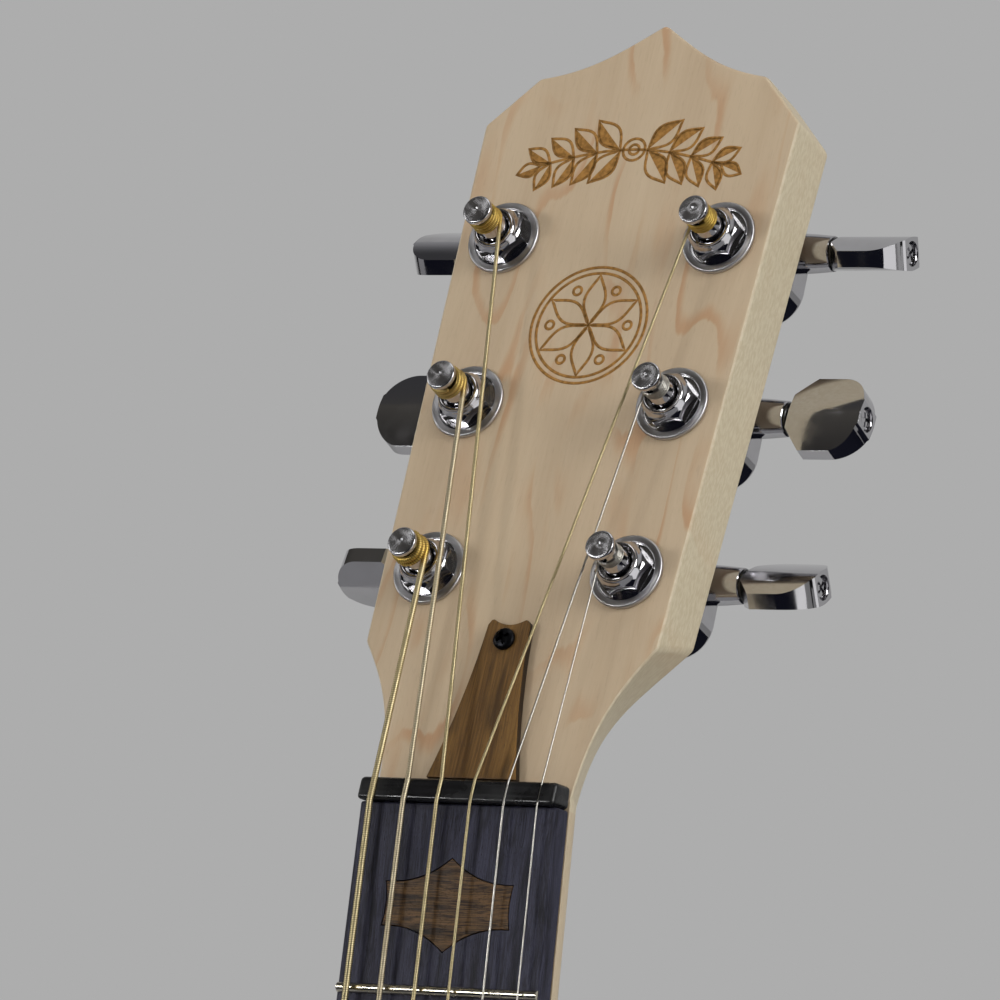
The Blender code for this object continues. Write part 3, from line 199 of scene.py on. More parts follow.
def combined(mesh, others, operation):
    """A mesh joined with, cut by or kept inside the others; they go."""
    carrier = carrier_of(mesh)
    tools = [carrier_of(other) for other in others]
    for tool in tools:
        modifier = carrier.modifiers.new("Boolean", "BOOLEAN")
        modifier.operation = operation
        modifier.solver = "EXACT"
        modifier.object = tool
    made = evaluated(carrier)
    for tool in tools:
        bpy.data.objects.remove(tool, do_unlink=True)
    return made


def joined(meshes):
    """Several meshes in one, each shell as it is."""
    bm = bmesh.new()
    for mesh in meshes:
        bm.from_mesh(mesh)
    return mesh_of(bm)


def eased(mesh, width, segments=2, angle=30):
    """Edges sharper than an angle rounded over."""
    carrier = carrier_of(mesh)
    bevel = carrier.modifiers.new("Bevel", "BEVEL")
    bevel.width = width
    bevel.segments = segments
    bevel.limit_method = "ANGLE"
    bevel.angle_limit = math.radians(angle)
    bevel.use_clamp_overlap = True
    return evaluated(carrier)


def shaded(mesh, angle=35):
    """Smooth shading that keeps flat faces flat."""
    bm = bmesh.new()
    bm.from_mesh(mesh)
    bmesh.ops.remove_doubles(bm, verts=bm.verts, dist=0.000001)
    bm.to_mesh(mesh)
    bm.free()
    mesh.shade_smooth()
    mesh.set_sharp_from_angle(angle=math.radians(angle))
    carrier = carrier_of(mesh)
    weighted = carrier.modifiers.new("Weighted", "WEIGHTED_NORMAL")
    weighted.keep_sharp = True
    return evaluated(carrier)


def written(mesh, name, rule):
    """An attribute on the mesh's points, from a rule that turns a place into three numbers."""
    layer = mesh.attributes.new(name, "FLOAT_VECTOR", "POINT")
    for vertex, value in zip(mesh.vertices, layer.data):
        value.vector = rule(vertex.co)
    return mesh


def piece(name, mesh, finish, body=BODY, stands_for=()):
    """A finished mesh as a piece that rides on a body and may stand for CAD nodes."""
    mesh.name = name
    made = bpy.data.objects.new(name, mesh)
    bpy.context.scene.collection.objects.link(made)
    if not mesh.materials:
        mesh.materials.append(finish)
    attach(made, body)
    if stands_for:
        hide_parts(*stands_for)
    return made


def new_tree(kind, name, inputs, outputs):
    """A node tree; each input is (name, socket type, value) and each output (name, socket type)."""
    tree = bpy.data.node_groups.new(name, kind)
    for label, socket_type, value in inputs:
        socket = tree.interface.new_socket(label, in_out="INPUT", socket_type=socket_type)
        if value is not None:
            socket.default_value = value
    for label, socket_type in outputs:
        tree.interface.new_socket(label, in_out="OUTPUT", socket_type=socket_type)
    return tree, tree.nodes.new("NodeGroupInput").outputs, tree.nodes.new("NodeGroupOutput").inputs


def add(tree, kind, inputs=None, **settings):
    """A node with its settings, and its inputs set or linked by socket name or number."""
    made = tree.nodes.new(kind)
    for key, value in settings.items():
        setattr(made, key, value)
    for key, value in (inputs or {}).items():
        if isinstance(value, bpy.types.NodeSocket):
            tree.links.new(value, made.inputs[key])
        else:
            made.inputs[key].default_value = value
    return made


def maths(tree, operation, first, second=0.0, third=0.0):
    return add(tree, "ShaderNodeMath", {0: first, 1: second, 2: third}, operation=operation).outputs[0]


def stretched_noise(tree, place, sizes, detail=2.0, rough=0.5):
    """Noise whose features have the given three sizes, in metres."""
    scaled = add(tree, "ShaderNodeVectorMath", {0: place, 1: [1 / size for size in sizes]},
                 operation="MULTIPLY")
    noise = add(tree, "ShaderNodeTexNoise", {"Vector": scaled.outputs[0], "Scale": 1.0, "Detail": detail,
                                             "Roughness": rough})
    return noise.outputs["Fac"]


def between(tree, value, low, high):
    """A value spread so that low gives 0 and high gives 1, with soft ends."""
    made = add(tree, "ShaderNodeMapRange", {"Value": value, "From Min": low, "From Max": high},
               interpolation_type="SMOOTHSTEP")
    return made.outputs["Result"]


def mixed(tree, share, first, second, blend="MIX"):
    made = add(tree, "ShaderNodeMix", {0: share, 6: first, 7: second}, data_type="RGBA", blend_type=blend)
    return made.outputs[2]


def make_wood_grain():
    """Grain that runs along the second number of the place it is given."""
    tree, given, gives = new_tree("ShaderNodeTree", "wood_grain", [
        ("Place", "NodeSocketVector", None), ("Light", "NodeSocketColor", tone(180, 160, 134)),
        ("Dark", "NodeSocketColor", tone(168, 146, 122)), ("Flame", "NodeSocketColor", tone(184, 142, 106)),
        ("Coarseness", "NodeSocketFloat", 1.0), ("Flame Amount", "NodeSocketFloat", 0.5),
        ("Contrast", "NodeSocketFloat", 1.0), ("Pores", "NodeSocketFloat", 0.15),
        ("Fineness", "NodeSocketFloat", 1.6), ("Arches", "NodeSocketFloat", 0.0),
    ], [("Colour", "NodeSocketColor"), ("Height", "NodeSocketFloat"), ("Sheen Break", "NodeSocketFloat")])
    shrunk = add(tree, "ShaderNodeVectorMath",
                 {0: given["Place"], "Scale": maths(tree, "DIVIDE", 1, given["Coarseness"])},
                 operation="SCALE").outputs[0]
    wander = stretched_noise(tree, shrunk, (26 * MM, 90 * MM, 26 * MM), 1.5)
    shift = maths(tree, "MULTIPLY", maths(tree, "SUBTRACT", wander, 0.5), 9 * MM)
    sideways = add(tree, "ShaderNodeCombineXYZ", {0: shift, 2: shift}).outputs[0]
    place = add(tree, "ShaderNodeVectorMath", {0: shrunk, 1: sideways}, operation="ADD").outputs[0]
    bands = stretched_noise(tree, place, (9 * MM, 120 * MM, 9 * MM), 2.5)
    lines = stretched_noise(tree, place, (0.7 * MM, 38 * MM, 0.7 * MM), 3.0, 0.6)
    flames = stretched_noise(tree, place, (8 * MM, 38 * MM, 12 * MM), 2.0)
    arches = stretched_noise(tree, place, (22 * MM, 88 * MM, 60 * MM), 1.0)
    jags = stretched_noise(tree, place, (1.6 * MM, 7 * MM, 4 * MM), 2.0)
    rings = maths(tree, "FRACT",
                  maths(tree, "MULTIPLY_ADD", jags, 0.14, maths(tree, "MULTIPLY", arches, 7.0)))
    patches = between(tree, stretched_noise(tree, place, (15 * MM, 34 * MM, 30 * MM), 1.0), 0.4, 0.64)
    pores = stretched_noise(tree, place, (0.28 * MM, 3.2 * MM, 0.28 * MM), 1.0)
    body = maths(tree, "MULTIPLY_ADD", maths(tree, "SUBTRACT", bands, 0.5), 2.2, 0.5)
    fine = maths(tree, "MULTIPLY", maths(tree, "SUBTRACT", lines, 0.5), given["Fineness"])
    share = maths(tree, "MULTIPLY", maths(tree, "SUBTRACT", maths(tree, "ADD", body, fine), 0.5),
                  given["Contrast"])
    share = add(tree, "ShaderNodeClamp", {0: maths(tree, "ADD", share, 0.5)}).outputs[0]
    colour = mixed(tree, share, given["Dark"], given["Light"])
    licks = maths(tree, "MULTIPLY", between(tree, flames, 0.56, 0.74), given["Flame Amount"])
    late_wood = maths(tree, "MULTIPLY", between(tree, rings, 0.74, 0.93), between(tree, rings, 1.0, 0.95))
    strokes = maths(tree, "MULTIPLY", maths(tree, "MULTIPLY", late_wood, patches), given["Arches"])
    colour = mixed(tree, maths(tree, "MAXIMUM", licks, strokes), colour, given["Flame"])
    pits = maths(tree, "MULTIPLY", between(tree, pores, 0.60, 0.72), given["Pores"])
    colour = mixed(tree, pits, colour, mixed(tree, 0.55, given["Dark"], (0.02, 0.015, 0.01, 1)))
    tree.links.new(colour, gives["Colour"])
    height = maths(tree, "SUBTRACT", maths(tree, "MULTIPLY", lines, 0.6), pits)
    tree.links.new(height, gives["Height"])
    tree.links.new(maths(tree, "ADD", lines, pits), gives["Sheen Break"])
    return tree


def make_handling():
    """Finger marks and soft smears, as a share from 0 to 1."""
    tree, given, gives = new_tree("ShaderNodeTree", "handling", [
        ("Place", "NodeSocketVector", None), ("Size", "NodeSocketFloat", 1.0),
    ], [("Smear", "NodeSocketFloat")])
    shrunk = add(tree, "ShaderNodeVectorMath",
                 {0: given["Place"], "Scale": maths(tree, "DIVIDE", 1, given["Size"])},
                 operation="SCALE").outputs[0]
    smear = between(tree, stretched_noise(tree, shrunk, (7 * MM, 7 * MM, 7 * MM), 3.0, 0.6), 0.42, 0.68)
    tree.links.new(smear, gives["Smear"])
    return tree


WOOD_GRAIN = make_wood_grain()
HANDLING = make_handling()


def new_finish(name, **uniform):
    """A material's tree and shader, with its uniform values on the shader's own sockets."""
    made = bpy.data.materials.new(name)
    made.use_nodes = True
    shader = made.node_tree.nodes["Principled BSDF"]
    for label, value in uniform.items():
        shader.inputs[label.replace("_", " ")].default_value = value
    return made, made.node_tree, shader


def attribute(tree, name):
    return add(tree, "ShaderNodeAttribute", attribute_name=name).outputs["Vector"]


def object_place(tree):
    return add(tree, "ShaderNodeTexCoord").outputs["Object"]


def share_on(tree, name):
    """The single number that a mesh carries under a name."""
    return add(tree, "ShaderNodeAttribute", attribute_name=name).outputs["Fac"]


def smears_on(tree, place, size):
    """Smears of handling, as many times their usual size."""
    hands = tree.nodes.new("ShaderNodeGroup")
    hands.node_tree = HANDLING
    tree.links.new(place, hands.inputs["Place"])
    hands.inputs["Size"].default_value = size
    return hands.outputs["Smear"]


def coloured(tree, shader, colour):
    tree.links.new(colour, shader.inputs["Base Color"])


def roughened(tree, shader, share, low, high):
    """A roughness of low where a share is 0 and of high where it is 1."""
    dull = add(tree, "ShaderNodeMapRange", {"Value": share, "To Min": low, "To Max": high})
    tree.links.new(dull.outputs["Result"], shader.inputs["Roughness"])


def bumped(tree, shader, height, distance):
    bump = add(tree, "ShaderNodeBump", {"Height": height, "Distance": distance, "Strength": 1.0})
    tree.links.new(bump.outputs["Normal"], shader.inputs["Normal"])


def make_wood(name, grain, rough=(0.42, 0.6), bump=0.05 * MM, **uniform):
    """Wood whose grain follows the piece's own grain attribute."""
    made, tree, shader = new_finish(name, **uniform)
    place = attribute(tree, "grain")
    wood = tree.nodes.new("ShaderNodeGroup")
    wood.node_tree = WOOD_GRAIN
    tree.links.new(place, wood.inputs["Place"])
    for label, value in grain.items():
        wood.inputs[label].default_value = value
    coloured(tree, shader, wood.outputs["Colour"])
    pores = maths(tree, "MULTIPLY", wood.outputs["Sheen Break"], 0.6)
    roughened(tree, shader, maths(tree, "MULTIPLY_ADD", smears_on(tree, place, 3.0), 0.4, pores), *rough)
    bumped(tree, shader, wood.outputs["Height"], bump)
    return made


MAPLE = make_wood("oiled_maple", {
    "Light": tone(194, 174, 146), "Dark": tone(182, 160, 132), "Flame": tone(176, 126, 82),
    "Flame Amount": 0.25, "Arches": 0.55, "Pores": 0.1, "Contrast": 0.85, "Fineness": 0.9},
    Specular_IOR_Level=0.3)
maple_tree = MAPLE.node_tree
maple_shader = maple_tree.nodes["Principled BSDF"]
# Painted light: the sides are painted a paler, speckled tone for the light they catch, fully on the
# headstock and half on the neck.
maple_lit_side_share = share_on(maple_tree, "sawn_side")
maple_front = maple_shader.inputs["Base Color"].links[0].from_socket
maple_specks = stretched_noise(maple_tree, attribute(maple_tree, "grain"), (2.2 * MM, 1.6 * MM, 0.5 * MM),
                               3.0)
maple_painted_light_tone = mixed(maple_tree, between(maple_tree, maple_specks, 0.36, 0.66), tone(191, 179, 151),
                      tone(205, 196, 170))
maple_painted_pale = mixed(maple_tree, 0.75, maple_front, maple_painted_light_tone)
coloured(maple_tree, maple_shader, mixed(maple_tree, maple_lit_side_share, maple_front, maple_painted_pale))


def curve_points(start, pull_start, pull_end, end, count):
    points = []
    for i in range(count):
        t = i / count
        weights = ((1 - t) ** 3, 3 * t * (1 - t) ** 2, 3 * t * t * (1 - t), t ** 3)
        places = (start, pull_start, pull_end, end)
        points.append(tuple(sum(w * p[k] for w, p in zip(weights, places)) for k in (0, 1)))
    return points


def both_sides(half):
    """A half outline closed with its mirror image."""
    return half + [(-x, y) for x, y in reversed(half) if x > 0]


def head_ring(back, level):
    throat = curve_points((THROAT[back], HEAD_FOOT), *THROAT_PULLS[back], LOWER_CORNERS[back], 22)
    crown = curve_points(SHOULDER, *CROWN_PULLS, APEX, 18)
    half = throat + [LOWER_CORNERS[back], UPPER_CORNER] + crown + [APEX]
    return [(x, y, level) for x, y in both_sides(half)]


def half_board(down):
    """Half the fretboard's width at a distance down from the nut."""
    return NUT_WIDTH / 2 + (WIDTH_AT_12 - NUT_WIDTH) * down / SCALE_LENGTH


def neck_ring(place, top, half, depth, roundness, sides=36):
    """One cross section of the neck: flat in front, a rounded back."""
    shoulder = 0.2 * MM
    ring = [(-half, top, place)]
    for i in range(sides + 1):
        angle = math.pi * i / sides
        across = -math.cos(angle)
        x = half * math.copysign(abs(across) ** (2 / roundness), across)
        ring.append((x, top + shoulder + (depth - shoulder) * math.sin(angle) ** (2 / roundness), place))
    ring.append((half, top, place))
    return ring


def make_neck():
    head = moved(eased(loft([head_ring(0, 0), head_ring(1, -HEAD_THICKNESS)]), EASED_EDGE, 3), HEAD)
    rings = []
    for rise, narrow, shallow in NECK_ROOT:
        top = (rise - 3 * MM) * math.tan(HEAD_TILT) + 6 * MM
        depth = BOARD_THICKNESS + NECK_DEPTH_NUT - shallow - top
        rings.append(neck_ring(rise, top, NUT_WIDTH / 2 - narrow, depth, NECK_ROUNDNESS))
    rings.append(neck_ring(1.5 * MM, BOARD_THICKNESS, NUT_WIDTH / 2, NECK_DEPTH_NUT, NECK_ROUNDNESS))
    heel_start = NECK_JOINT - HEEL_LENGTH
    heel_end = NECK_JOINT + 4 * MM
    growth = (NECK_DEPTH_12 - NECK_DEPTH_NUT) / (SCALE_LENGTH / 2)
    stations = [heel_start * i / NECK_RINGS for i in range(NECK_RINGS)]
    stations += [heel_start + (heel_end - heel_start) * i / NECK_RINGS for i in range(NECK_RINGS + 1)]
    for down in stations:
        depth = NECK_DEPTH_NUT + growth * down
        share = max(0, (down - heel_start) / (heel_end - heel_start))
        swell = share * share * (3 - 2 * share)
        depth += (HEEL_DEPTH - depth) * swell
        roundness = NECK_ROUNDNESS + (HEEL_ROUNDNESS - NECK_ROUNDNESS) * swell
        rings.append(neck_ring(-down, BOARD_THICKNESS, half_board(down), depth, roundness))
    neck = combined(loft(rings), [head], "UNION")
    cuts = [moved(rod(TUNER_HOLE, -HEAD_THICKNESS - 3 * MM, 3 * MM), HEAD @ Matrix.Translation((*place, 0)))
            for place in TUNER_PLACES.values()]
    cuts.append(moved(block(*ROD_CHANNEL), HEAD))
    cuts += [moved(rod(*room, 256), POT) for room in (HOOP_ROOM, RIM_ROOM)]
    return shaded(combined(neck, cuts, "DIFFERENCE"), 28)


def neck_grain(place):
    """Along the headstock above the nut, and along the neck below it."""
    share = min(1, max(0, place.z / (6 * MM) + 1))
    on_head = HEAD.inverted() @ place
    along_neck = Vector((place.x, place.z, -place.y))
    return along_neck.lerp(on_head, share)


def paint_side_light(mesh):
    """The headstock's sawn sides, marked on the mesh's faces with a share by which the maple is painted
    paler there: painted light for the light these faces catch.
    """
    layer = mesh.attributes.new("sawn_side", "FLOAT", "FACE")
    for face, value in zip(mesh.polygons, layer.data):
        slant = min(1, max(0, (abs(face.normal.x) - 0.3) / 0.5))
        value.value = slant if face.center.z > 0 else 0.5 * slant
    return mesh


neck = written(paint_side_light(make_neck()), "grain", neck_grain)
piece("neck", neck, MAPLE, stands_for=["neck"])

# Burnt ornament
# Two plain motifs drawn on the headstock with a hot point: a leafed sprig and a compass rosette.
# Each line is a shallow ribbon of scorched wood on the face.
BURN_WIDTH = 0.62 * MM
BURN_PROUD = 0.03 * MM


def give_painted(tree, geometry, finish, socket):
    """The last steps of a geometry tree: all instances made real, in their finish."""
    real = add(tree, "GeometryNodeRealizeInstances", {0: geometry})
    painted = add(tree, "GeometryNodeSetMaterial", {"Geometry": real.outputs[0], "Material": finish})
    tree.links.new(painted.outputs[0], socket)


def make_ribbon_tree():
    """A flat ribbon along each of the given curves."""
    tree, given, gives = new_tree("GeometryNodeTree", "burnt_ribbon", [
        ("Lines", "NodeSocketGeometry", None), ("Width", "NodeSocketFloat", BURN_WIDTH),
        ("Rise", "NodeSocketFloat", BURN_PROUD), ("Finish", "NodeSocketMaterial", None),
    ], [("Ribbon", "NodeSocketGeometry")])
    curve = add(tree, "GeometryNodeMeshToCurve", {0: given["Lines"]})
    flat = add(tree, "GeometryNodeSetCurveNormal", {"Curve": curve.outputs[0]})
    flat.mode = "Z_UP"
    outline = add(tree, "GeometryNodeCurvePrimitiveQuadrilateral",
                  {"Width": given["Width"], "Height": given["Rise"]})
    swept = add(tree, "GeometryNodeCurveToMesh",
                {"Curve": flat.outputs[0], "Profile Curve": outline.outputs[0], "Fill Caps": True})
    give_painted(tree, swept.outputs[0], given["Finish"], gives["Ribbon"])
    return tree


def grown(mesh, tree, values):
    """A mesh put through a geometry tree whose inputs are set by name."""
    carrier = carrier_of(mesh)
    modifier = carrier.modifiers.new("Grow", "NODES")
    modifier.node_group = tree
    for item in tree.interface.items_tree:
        if item.item_type == "SOCKET" and item.in_out == "INPUT" and item.name in values:
            modifier[item.identifier] = values[item.name]
    return evaluated(carrier)


def polyline(runs):
    """Open or closed runs of points as edges; a closed run repeats its first point."""
    mesh = bpy.data.meshes.new("lines")
    points = []
    edges = []
    for run in runs:
        closed = run[0] == run[-1]
        kept = run[:-1] if closed else run
        start = len(points)
        points += kept
        edges += [(start + i, start + i + 1) for i in range(len(kept) - 1)]
        if closed:
            edges.append((start + len(kept) - 1, start))
    mesh.from_pydata([(x, y, 0) for x, y in points], edges, [])
    return mesh


def circle_run(centre, radius, count=72):
    turns = [2 * math.pi * i / count for i in range(count)]
    run = [(centre[0] + radius * math.cos(t), centre[1] + radius * math.sin(t)) for t in turns]
    return run + [run[0]]


def leaf_run(root, heading, length, width):
    """A pointed leaf with its root at a place, pointing along a heading."""
    run = []
    for side, steps in ((1, range(0, 13)), (-1, range(11, -1, -1))):
        for i in steps:
            t = i / 12
            across = side * width * math.sin(math.pi * t) ** 1.3
            along = length * t
            run.append((root[0] + along * math.cos(heading) - across * math.sin(heading),
                        root[1] + along * math.sin(heading) + across * math.cos(heading)))
    run[-1] = run[0]
    return run


def leaf_places():
    """Root, heading, length and half width of each leaf along the sprig's bowed stem."""
    stem = [(x * MM, 134.6 * MM + 3.4 * MM * math.cos(x / 20 * math.pi / 2)) for x in range(-20, 21)]
    leaves = []
    for side in (-1, 1):
        along = 0 if side > 0 else math.pi
        for i, x in enumerate((3, 8, 13, 18)):
            heading = along - 0.35 * side * x / 18
            size = 1 - 0.1 * i
            for lean in (0.86, -0.86):
                leaves.append((stem[20 + side * x], heading + side * lean, 9.2 * size * MM,
                               2.3 * size * MM))
        leaves.append((stem[20 + side * 20], along - 0.4 * side, 5.4 * MM, 1.5 * MM))
    return stem, leaves


def make_burnt_halves():
    """Half of each leaf, burnt in solid up to its midrib."""
    halves = []
    for root, heading, length, width in leaf_places()[1]:
        outer = leaf_run(root, heading, length, width)[:13]
        halves.append(plate(outer, -BURN_PROUD / 2, BURN_PROUD / 2))
    return joined(halves)


def make_ornament_runs():
    stem, leaves = leaf_places()
    sprig = [stem] + [leaf_run(*leaf) for leaf in leaves]
    sprig += [circle_run((0, 138.0 * MM), radius, 32) for radius in (1.1 * MM, 2.4 * MM)]
    centre = (-0.4 * MM, 99.5 * MM)
    rosette = [circle_run(centre, 12.6 * MM), circle_run(centre, 11.3 * MM)]
    for k in range(6):
        heading = math.pi / 6 + k * math.pi / 3
        rosette.append(leaf_run(centre, heading, 11 * MM, 2.3 * MM))
        tip = (centre[0] + 8.6 * MM * math.cos(heading + math.pi / 6),
               centre[1] + 8.6 * MM * math.sin(heading + math.pi / 6))
        rosette.append(circle_run(tip, 0.9 * MM, 20))
    return sprig + rosette


SCORCH, scorch_tree, scorch_shader = new_finish("scorched_line", Specular_IOR_Level=0.25)
scorch_depth = stretched_noise(scorch_tree, object_place(scorch_tree), (0.9 * MM, 0.9 * MM, 0.9 * MM), 3.0)
coloured(scorch_tree, scorch_shader, mixed(scorch_tree, between(scorch_tree, scorch_depth, 0.3, 0.7),
                                           tone(126, 88, 36), tone(166, 120, 58)))
scorch_tree.links.new(between(scorch_tree, scorch_depth, 1.6, -0.4), scorch_shader.inputs["Roughness"])
bumped(scorch_tree, scorch_shader, scorch_depth, 0.05 * MM)
RIBBON_TREE = make_ribbon_tree()
burn = grown(polyline(make_ornament_runs()), RIBBON_TREE, {"Finish": SCORCH})
piece("burnt_ornament", moved(joined([burn, make_burnt_halves()]), HEAD), SCORCH)

# Fretboard
# A dark slate-stained board glued on the neck's front, its edges eased, pocketed for the inlays.
# It is open-pored, so its stain lies in streaks along the length.
FRET_COUNT = 22
BOARD_PAST_LAST_FRET = 7 * MM
GLUE = 0.05 * MM
INLAY_GAP = 0.22 * MM
INLAY_DEPTH = 1.6 * MM
INLAY = {"wide": 13.8 * MM, "top": 10.5 * MM, "shoulder": 15.3 * MM, "foot": 23.6 * MM, "bottom": 28.4 * MM,
         "dip": 1.5 * MM}
SMALL_INLAY_FRETS = (3, 5, 7, 9, 12, 15, 17)
SMALL_INLAY_SCALE = 0.44


def fret_place(number):
    return SCALE_LENGTH * (1 - 2 ** (-number / 12))


def inlay_outline(grow=0.0, scale=1.0, middle=None):
    """A diamond with square sides and hollow edges, as (across, down)."""
    sizes = {key: value * scale for key, value in INLAY.items()}
    centre = (sizes["top"] + sizes["bottom"]) / 2
    move = 0 if middle is None else middle - centre
    wide = sizes["wide"] + grow
    corners = [(0, sizes["top"] - grow), (wide, sizes["shoulder"] - grow), (wide, sizes["foot"] + grow),
               (0, sizes["bottom"] + grow), (-wide, sizes["foot"] + grow),
               (-wide, sizes["shoulder"] - grow)]
    dips = (1, 1 / 3, 1, 1, 1 / 3, 1)
    outline = []
    for i, dip in enumerate(dips):
        start = Vector(corners[i])
        end = Vector(corners[(i + 1) % 6])
        inward = Vector((start.y - end.y, end.x - start.x)).normalized()
        if inward.dot(Vector((0, centre)) - start) < 0:
            inward = -inward
        for k in range(10):
            t = k / 10
            place = start.lerp(end, t) + inward * dip * sizes["dip"] * 4 * t * (1 - t)
            outline.append((place.x, place.y + move))
    return outline


def on_board(outline, low, high):
    """An outline of (across, down) made solid between two heights over the board's surface."""
    return moved(plate([(x, -y) for x, y in outline], low, high), Matrix.Rotation(math.pi / 2, 4, "X"))


def small_inlay_places():
    """Across, and down to the middle, of each small inlay; the twelfth fret has two."""
    places = []
    for number in SMALL_INLAY_FRETS:
        down = (fret_place(number) + fret_place(number - 1)) / 2
        places += [(-11 * MM, down), (11 * MM, down)] if number == 12 else [(0, down)]
    return places


def board_grain(place):
    return Vector((place.x, place.z, place.y))


STAINED = make_wood("stained_board", {
    "Light": tone(62, 62, 79), "Dark": tone(26, 25, 34), "Flame": tone(17, 16, 20), "Coarseness": 0.24,
    "Flame Amount": 0.55, "Contrast": 0.95, "Pores": 0.75, "Fineness": 2.6}, (0.42, 0.66), 0.07 * MM,
    Specular_IOR_Level=0.2)
board_end = fret_place(FRET_COUNT) + BOARD_PAST_LAST_FRET
board_outline = [(-half_board(0), 0), (half_board(0), 0), (half_board(board_end), board_end),
                 (-half_board(board_end), board_end)]
board = eased(on_board(board_outline, -BOARD_THICKNESS + GLUE, 0), 0.5 * MM, 3)
pockets = [on_board(inlay_outline(INLAY_GAP), -INLAY_DEPTH, 1 * MM)]
for across, down in small_inlay_places():
    pocket = on_board(inlay_outline(INLAY_GAP, SMALL_INLAY_SCALE, down), -INLAY_DEPTH, 1 * MM)
    pockets.append(moved(pocket, Matrix.Translation((across, 0, 0))))
board = written(shaded(combined(board, pockets, "DIFFERENCE")), "grain", board_grain)
piece("fretboard", board, STAINED, stands_for=["fretboard"])

# Frets
# Nickel-silver wire with a rounded crown, hammered into sawn slots and cut flush with the board's edges.
# Each is a little wider than the one above, as the board is.
FRET_CROWN = (1.0 * MM, 1.1 * MM)
FRET_END_INSET = 0.3 * MM


def make_fret_tree():
    """Frets across a tapering board, each half an octave's twelfth below the last."""
    tree, given, gives = new_tree("GeometryNodeTree", "fret_row", [
        ("Start", "NodeSocketGeometry", None), ("Count", "NodeSocketInt", FRET_COUNT),
        ("Scale Length", "NodeSocketFloat", SCALE_LENGTH), ("Nut Width", "NodeSocketFloat", NUT_WIDTH),
        ("Taper", "NodeSocketFloat", 0.0), ("Crown Half Width", "NodeSocketFloat", FRET_CROWN[0]),
        ("Crown Height", "NodeSocketFloat", FRET_CROWN[1]), ("Finish", "NodeSocketMaterial", None),
    ], [("Frets", "NodeSocketGeometry")])
    index = tree.nodes.new("GeometryNodeInputIndex").outputs[0]
    octaves = maths(tree, "DIVIDE", maths(tree, "ADD", index, 1.0), -12.0)
    down = maths(tree, "MULTIPLY", maths(tree, "SUBTRACT", 1.0, maths(tree, "POWER", 2.0, octaves)),
                 given["Scale Length"])
    width = maths(tree, "MULTIPLY_ADD", down, given["Taper"], given["Nut Width"])
    place = add(tree, "ShaderNodeCombineXYZ", {2: maths(tree, "MULTIPLY", down, -1.0)}).outputs[0]
    points = add(tree, "GeometryNodePoints", {"Count": given["Count"], "Position": place})
    span = add(tree, "GeometryNodeCurvePrimitiveLine", {"Start": (-0.5, 0, 0), "End": (0.5, 0, 0)})
    ring = add(tree, "GeometryNodeCurvePrimitiveCircle", {"Resolution": 20, "Radius": 1.0})
    wire = add(tree, "GeometryNodeCurveToMesh", {"Curve": span.outputs[0], "Profile Curve": ring.outputs[0],
                                                 "Fill Caps": True})
    size = add(tree, "ShaderNodeCombineXYZ",
               {0: width, 1: given["Crown Height"], 2: given["Crown Half Width"]})
    row = add(tree, "GeometryNodeInstanceOnPoints",
              {"Points": points.outputs[0], "Instance": wire.outputs[0], "Scale": size.outputs[0]})
    give_painted(tree, row.outputs[0], given["Finish"], gives["Frets"])
    return tree


LATHE_RING = 0.16 * MM


def lathe_radius(tree, spot):
    """How far a turned piece's spot lies from its axis."""
    flat = add(tree, "ShaderNodeVectorMath", {0: spot, 1: (1, 1, 0)}, operation="MULTIPLY").outputs[0]
    return add(tree, "ShaderNodeVectorMath", {0: flat}, operation="LENGTH").outputs["Value"]


def make_metal(name, colour, rough, scratch=0.004 * MM, turned=False, size=1.0, **uniform):
    """Bare or plated metal with smears, specks and fine marks, and lathe rings on a turned piece."""
    made, tree, shader = new_finish(name, Metallic=1.0, **uniform)
    place = object_place(tree)
    smears = smears_on(tree, place, size)
    coloured(tree, shader, mixed(tree, maths(tree, "MULTIPLY", smears, 0.25), colour,
                                 mixed(tree, 1.0, colour, (0.8, 0.78, 0.74, 1), "MULTIPLY")))
    roughened(tree, shader, smears, *rough)
    height = stretched_noise(tree, place, (0.35 * MM, 0.35 * MM, 0.35 * MM), 2.0)
    if turned:
        out = lathe_radius(tree, attribute(tree, "lathe"))
        rings = add(tree, "ShaderNodeTexNoise",
                    {"W": maths(tree, "DIVIDE", out, LATHE_RING), "Scale": 1.0, "Detail": 2.0},
                    noise_dimensions="1D").outputs["Fac"]
        height = maths(tree, "ADD", maths(tree, "MULTIPLY", rings, 1.6), height)
    bumped(tree, shader, height, scratch)
    return made


FRET_METAL = make_metal("nickel_silver", tone(214, 208, 192), (0.16, 0.34))
fret_start = bpy.data.meshes.new("fret_start")
frets = grown(fret_start, make_fret_tree(), {
    "Nut Width": NUT_WIDTH - 2 * FRET_END_INSET, "Taper": 2 * (WIDTH_AT_12 - NUT_WIDTH) / SCALE_LENGTH,
    "Finish": FRET_METAL})
piece("frets", shaded(frets, 50), FRET_METAL)

# Inlays
# Brown hardwood set flush in the board, laser-cut, so a thin scorched line shows round each; here the
# board's pocket leaves a thin gap round each instead.
# The grain runs across the neck.


def inlay_grain(place):
    return Vector((place.z, place.x, place.y))


